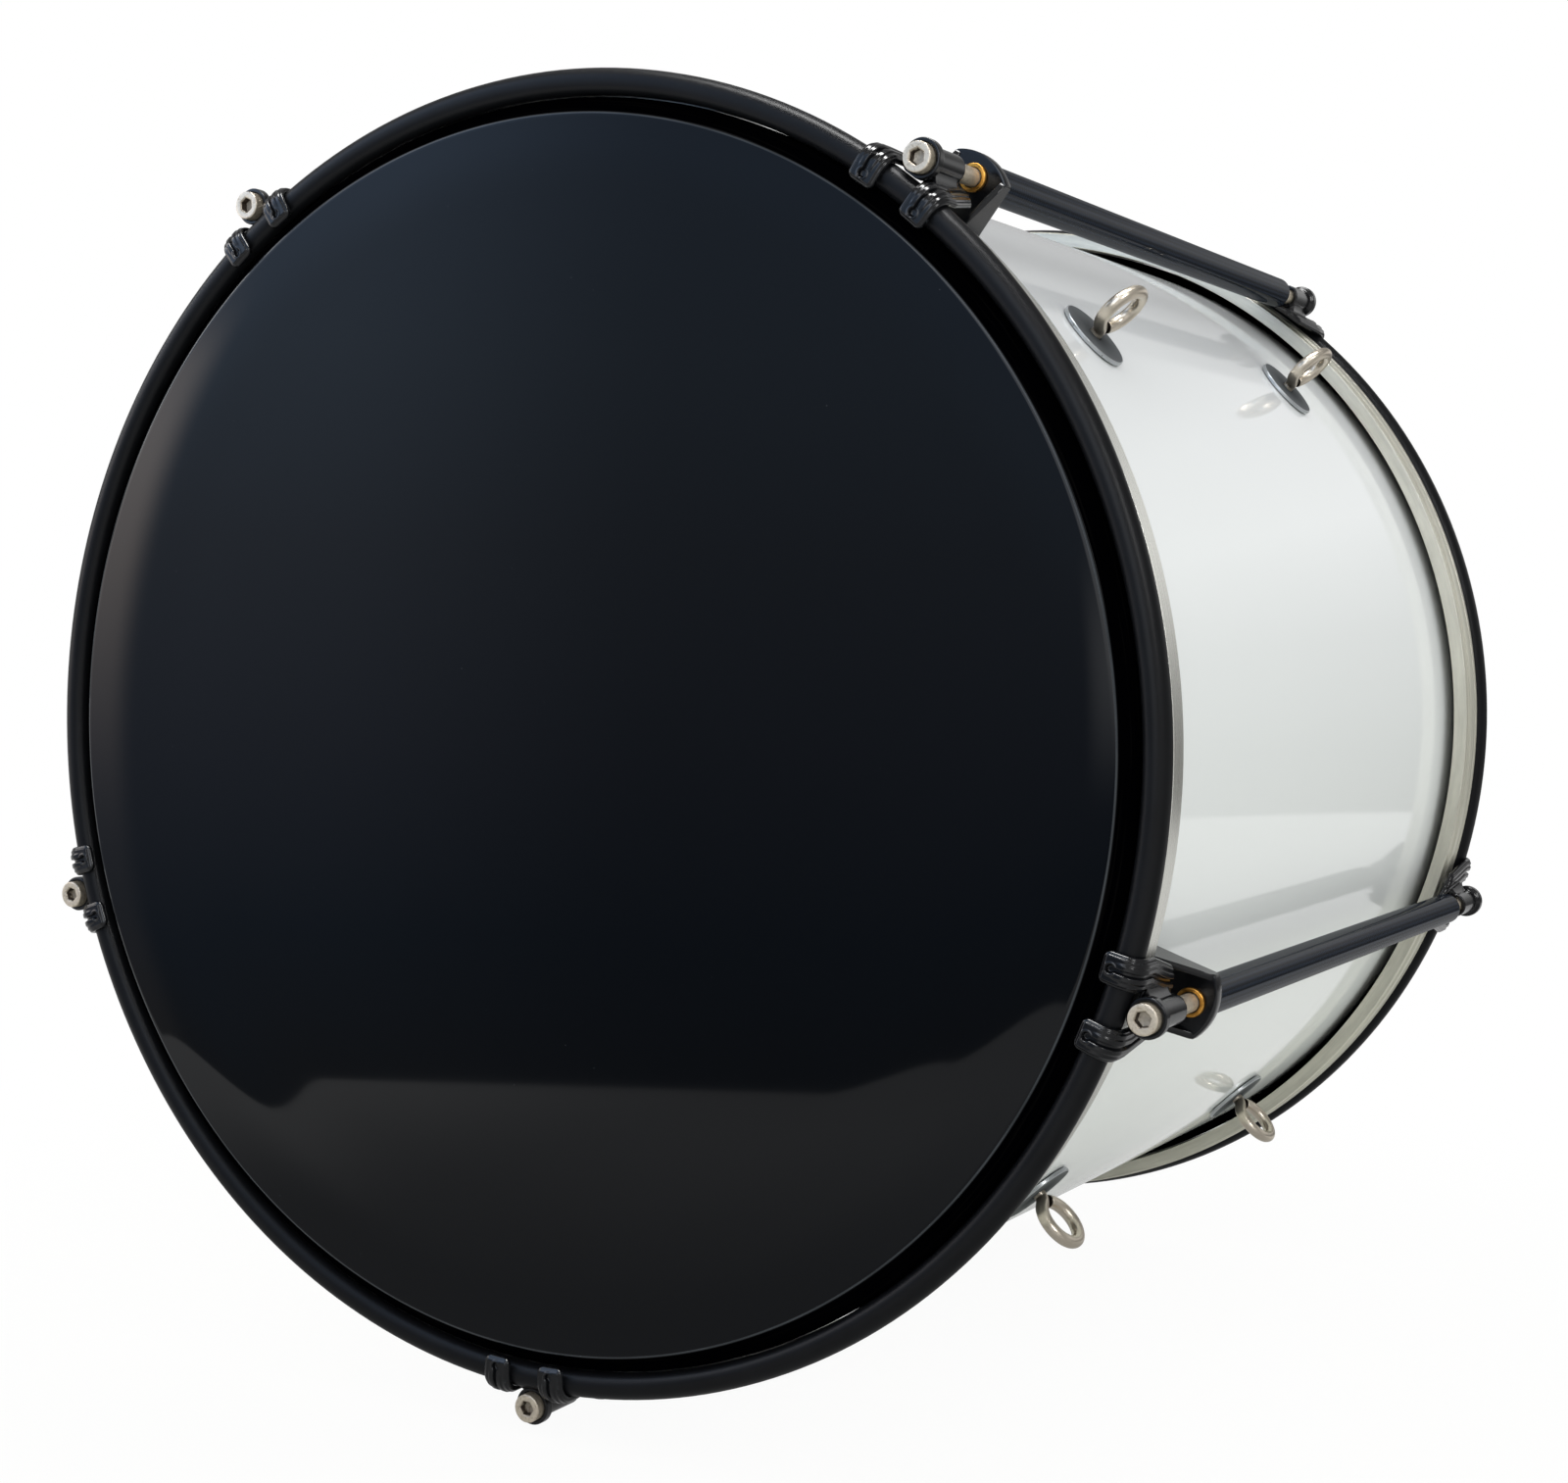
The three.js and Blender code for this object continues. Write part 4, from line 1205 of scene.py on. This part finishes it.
class MakeBrackets(bpy.types.Operator):
    """Makes the five brackets"""

    bl_idname = "drum.make_brackets"
    bl_label = "Brackets"

    def execute(self, context):
        """One for each lug."""
        shape = bracket_shape(sizes(context))
        return make_set(context, shape, at_lugs("bracket", True), "casting")


class MakeBushes(bpy.types.Operator):
    """Makes the front bushes and rear inserts"""

    bl_idname = "drum.make_bushes"
    bl_label = "Bushes and inserts"

    def execute(self, context):
        """One of each for each lug."""
        size = sizes(context)
        bush, insert = bush_shape(size), insert_shape(size)
        for front, rear in zip(at_lugs("bush_front", True), at_lugs("insert_rear")):
            make_set(context, bush, [front], "brass")
            make_set(context, insert, [rear], "brass")
        return {"FINISHED"}


class MakeEyes(bpy.types.Operator):
    """Makes the four harness eyes and their washers, and finishes their nuts"""

    bl_idname = "drum.make_eyes"
    bl_label = "Harness eyes"

    def execute(self, context):
        """Two above and two below the player's side."""
        size = sizes(context)
        eye, washer = eye_shape(size), washer_shape(size)
        nickel, zinc = finish_of(context, "nickel"), finish_of(context, "washer")
        for name, deg, y in EYES:
            make_piece(f"eye_{name}", carried(eye, deg, shift=y), nickel)
            make_piece(f"eye_washer_{name}", carried(washer, deg, shift=y), zinc)
            nut = frame["nodes"][f"eye_nut_{name}"]
            nut.data.materials.clear()
            nut.data.materials.append(zinc)
        return {"FINISHED"}


class MakeStage(bpy.types.Operator):
    """Makes the floor, the lights and the camera"""

    bl_idname = "drum.make_stage"
    bl_label = "Stage"

    def execute(self, context):
        """Floor, mirrored cards and panels, surround, three soft lamps and the camera."""
        settings = context.scene.drum_stage
        add_floor()
        add_room_card()
        add_horizon_card()
        add_panels()
        set_surround(settings.world)
        add_lamp("key", (1.5, -2.0, 1.9), 3.0, settings.key_power)
        add_lamp("fill", (-2.3, -1.2, 1.0), 2.4, settings.fill_power)
        add_lamp("top", (0.2, 0.6, 2.6), 4.0, settings.top_power)
        add_camera()
        return {"FINISHED"}


# ---------------------------------------------------------------- stage

# The floor, the foot of the mirrored cards, and where their shades start under the drum's middle.
FLOOR_Z = CAD_BOX[0].z - 0.0015
CARD_FOOT = CAD_BOX[0].z - 0.001
SHADES_FROM = 0.33

# Each panel's power and corners.
PANELS = {
    "over": (44.0, (-0.6, -0.7, 2.0), (1.0, -0.7, 2.0), (1.0, -0.2, 2.05), (-0.6, -0.2, 2.05)),
    "right": (16.0, (1.5, -1.4, 0.4), (1.7, -1.0, 0.4), (1.7, -1.0, 1.5), (1.5, -1.4, 1.5)),
    "left": (6.0, (-2.2, -0.9, 0.3), (-2.3, -0.4, 0.3), (-2.3, -0.4, 1.5), (-2.2, -0.9, 1.5)),
}


def stage_mesh(name, corners, material):
    """A flat four-cornered stage piece."""
    mesh = bpy.data.meshes.new(name)
    mesh.from_pydata(corners, [], [(0, 1, 2, 3)])
    mesh.materials.append(material)
    made = bpy.data.objects.new(name, mesh)
    bpy.context.scene.collection.objects.link(made)
    return made


def add_floor():
    """A pale floor just under the drum. It shows as white to the camera, less the drum's own soft
    shadow, and fades to plain white away from it. Reflections see it dim behind the drum."""
    r = Recipe("pale_floor")
    x, y, _ = r.xyz(r.place())
    away = r.step(r.math("SQRT", x * x + y * y), 0.3, 0.8)
    cloud = r.noise(3.0, 2.0)
    shade = r.scaled((0.95, 0.97, 0.88), 0.99 + 0.02 * cloud)
    diffuse = r.node("ShaderNodeBsdfDiffuse", None, {"Color": shade})
    glossy = r.ray("Is Glossy Ray")
    near = 0.42 + 0.45 * r.step(-1.0 * y, 0.35, 0.9) + 0.4 * r.step(-1.0 * x, 0.3, 0.6)
    level = 1.0 - glossy * (1.0 - near - 0.3 * r.step(y, 0.1, 0.5))
    white = r.node("ShaderNodeEmission", None, {"Color": r.scaled((1.0, 1.0, 1.0), level)})
    direct = r.math("MAXIMUM", r.ray("Is Camera Ray"), glossy)
    seen = r.math("MAXIMUM", direct, r.ray("Is Transmission Ray"))
    r.overlay(seen * (0.95 + 0.05 * r.math("MAXIMUM", away, glossy)), white, diffuse)
    corners = [(x, y, FLOOR_Z) for x, y in ((-9, -9), (9, -9), (9, 9), (-9, 9))]
    stage_mesh("floor", corners, r.material)


def upright(start, end, high):
    """The corners of an upright card over a line on the floor."""
    return [(*start, CARD_FOOT), (*end, CARD_FOOT), (*end, high), (*start, high)]


def add_mirror_card(name, corners, recipe, glow):
    """A flat card that only reflections see, with the given glow."""
    material = recipe.finish(
        (0.0, 0.0, 0.0), Specular_IOR_Level=0.0, Emission_Color=glow, Emission_Strength=1.0
    )
    card = stage_mesh(name, corners, material)
    card.visible_camera = card.visible_diffuse = card.visible_shadow = False
    card.visible_transmission = card.visible_volume_scatter = False


def add_room_card():
    """What the film mirrors: a wall whose foot runs along y = -0.942 - 0.56(x + 0.381), dark over
    the floor, bluer and lighter upwards, brighter left of x = -0.4, with a warm glow left of
    x = -0.7 and a pale one right of x = 0.07."""
    r = Recipe("mirrored_room")
    x, _, z = r.xyz(r.place())
    shades = [
        (0.0, (0.05, 0.05, 0.05, 1)),
        (0.079, (0.057, 0.078, 0.112, 1)),
        (0.164, (0.13, 0.15, 0.2, 1)),
        (0.261, (0.2, 0.235, 0.3, 1)),
        (0.352, (0.27, 0.35, 0.47, 1)),
        (0.503, (0.31, 0.43, 0.63, 1)),
    ]
    room = r.node("ShaderNodeValToRGB", {"stops": shades}, {0: (z + SHADES_FROM) / 1.65})
    room = r.scaled(room, 1.8 + 1.7 * r.step(-1.0 * x, 0.36, 0.62))
    tall = 0.4 + 5.2 * r.step(z, -0.16, 0.24) * (1 - 0.85 * r.step(z, 0.27, 0.36))
    warm = r.scaled((1.0, 0.84, 0.72), 0.55 * tall * r.step(-1.0 * x, 0.7, 0.8))
    pale = r.scaled((1.0, 1.0, 1.0), 2.2 * r.step(x, 0.04, 0.1) * r.step(z, -0.12, 0.1))
    glow = r.sum(r.sum(room, warm), pale)
    ends = [(x, -0.942 - 0.56 * (x + 0.381)) for x in (-1.1, 0.7)]
    add_mirror_card("mirrored_room", upright(*ends, 1.3), r, glow)


def add_horizon_card():
    """What the shell's right side and the tubes mirror: dim near the floor, bright about 0.6 m
    over the drum's middle, and dim again above."""
    r = Recipe("mirrored_horizon")
    _, _, z = r.xyz(r.place())
    heights = [(-0.1, 0.15), (0.25, 0.4), (0.6, 0.95), (0.9, 0.8), (1.2, 0.35), (2.0, 0.2)]
    stops = [((h + SHADES_FROM) / 3.33, (v, v, v, 1)) for h, v in heights]
    shade = r.node("ShaderNodeValToRGB", {"stops": stops}, {0: (z + SHADES_FROM) / 3.33})
    add_mirror_card("mirrored_horizon", upright((0.1, 2.1), (3.4, 1.3), 3.0), r, shade)


def add_panels():
    """Bright panels over the drum and at each side of it, seen only in reflections, which draw
    lines of light on its black castings and hoops. Each fades towards its rims: with h half of
    a side, m its middle and p the place on it, the share along it is (p - m) · h / (h · h)."""
    for side, (power, *corners) in PANELS.items():
        r = Recipe("panel_" + side)
        a, b, c, d = (Vector(corner) for corner in corners)
        middle = (a + b + c + d) / 4
        level = power
        for half in ((b - a) / 2, (d - a) / 2):
            reach = sum(part * length for part, length in zip(r.xyz(r.place()), half))
            share = abs((reach - middle.dot(half)) / half.dot(half))
            level = level * (1.0 - r.step(share, 0.35, 1.0))
        add_mirror_card("panel_" + side, corners, r, r.scaled((1.0, 1.0, 1.0), level))


def set_surround(strength, mirrored=0.4):
    """White world: strength 1 where the camera sees it, less in reflections, and the given
    strength where it lights."""
    world = bpy.data.worlds.new("surround")
    bpy.context.scene.world = world
    world.use_nodes = True
    nodes, links = world.node_tree.nodes, world.node_tree.links
    path = nodes.new("ShaderNodeLightPath")
    dim, level = nodes.new("ShaderNodeMapRange"), nodes.new("ShaderNodeMapRange")
    links.new(path.outputs["Is Glossy Ray"], dim.inputs["Value"])
    dim.inputs["To Min"].default_value = strength
    dim.inputs["To Max"].default_value = mirrored
    links.new(path.outputs["Is Camera Ray"], level.inputs["Value"])
    links.new(dim.outputs[0], level.inputs["To Min"])
    level.inputs["To Max"].default_value = 1.0
    back = nodes["Background"]
    back.inputs["Color"].default_value = (1, 1, 1, 1)
    links.new(level.outputs[0], back.inputs["Strength"])


def add_lamp(name, place, size, power):
    """A square soft lamp that faces the drum."""
    light = bpy.data.lights.new(name, "AREA")
    light.size, light.energy = size, power
    lamp = bpy.data.objects.new(name, light)
    lamp.location = place
    lamp.rotation_euler = (-Vector(place)).to_track_quat("-Z", "Y").to_euler()
    lamp.visible_camera = False
    bpy.context.scene.collection.objects.link(lamp)


def add_camera():
    """The photograph's view. Its three axes come from yaw y, pitch p and roll q:
    forward = (-sin y cos p, cos y cos p, -sin p), right = (cos y, sin y, 0) and
    down = forward × right, then right and down are turned by q in the picture."""
    yaw, pitch, roll = (math.radians(v) for v in VIEW_TURNS)
    forward = Vector(
        (-math.sin(yaw) * math.cos(pitch), math.cos(yaw) * math.cos(pitch), -math.sin(pitch))
    )
    right = Vector((math.cos(yaw), math.sin(yaw), 0))
    down = forward.cross(right)
    across = math.cos(roll) * right + math.sin(roll) * down
    below = -math.sin(roll) * right + math.cos(roll) * down
    turn = Matrix((across, -below, -forward)).transposed().to_4x4()
    data = bpy.data.cameras.new("view")
    data.lens, data.sensor_width, data.sensor_fit = VIEW_LENS, 36.0, "HORIZONTAL"
    data.clip_start, data.clip_end = 0.05, 50
    camera = bpy.data.objects.new("view", data)
    camera.matrix_world = Matrix.Translation(Vector(VIEW_PLACE)) @ turn
    bpy.context.scene.collection.objects.link(camera)
    bpy.context.scene.camera = camera
    bpy.context.scene.view_settings.view_transform = "Standard"


class DRUM_PT_panel(bpy.types.Panel):
    """Lists the drum's operators, sizes and colours"""

    bl_idname = "DRUM_PT_panel"
    bl_label = "Marching bass drum"
    bl_space_type = "VIEW_3D"
    bl_region_type = "UI"
    bl_category = "Drum"

    def draw(self, context):
        """Buttons first, then each group of properties."""
        column = self.layout.column(align=True)
        for operator in OPERATORS:
            column.operator(operator.bl_idname)
        for key in GROUPS:
            group = getattr(context.scene, key)
            box = self.layout.box()
            for name in type(group).__annotations__:
                box.prop(group, name)


RIM_OPERATORS = (MakeHeads, MakeFleshRings, MakeHoops, MakeClaws, MakeScrews)
FRAME_OPERATORS = (MakeTubes, MakeBrackets, MakeBushes, MakeEyes)
OPERATORS = (MakeStage, MakeShell, *RIM_OPERATORS, *FRAME_OPERATORS)
GROUPS = {"drum_stage": StageSettings, "drum_sizes": DrumSizes, "drum_colours": DrumColours}


def register():
    """Registers the groups, operators and panel."""
    for made in (*GROUPS.values(), *OPERATORS, DRUM_PT_panel):
        bpy.utils.register_class(made)
    for name, group in GROUPS.items():
        setattr(bpy.types.Scene, name, PointerProperty(type=group))


def unregister():
    """Takes them off again."""
    for name in GROUPS:
        delattr(bpy.types.Scene, name)
    for made in (DRUM_PT_panel, *reversed(OPERATORS), *GROUPS.values()):
        bpy.utils.unregister_class(made)


def main():
    """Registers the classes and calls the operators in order."""
    register()
    for operator in OPERATORS:
        group, name = operator.bl_idname.split(".")
        getattr(getattr(bpy.ops, group), name)()


if __name__ == "__main__":
    main()
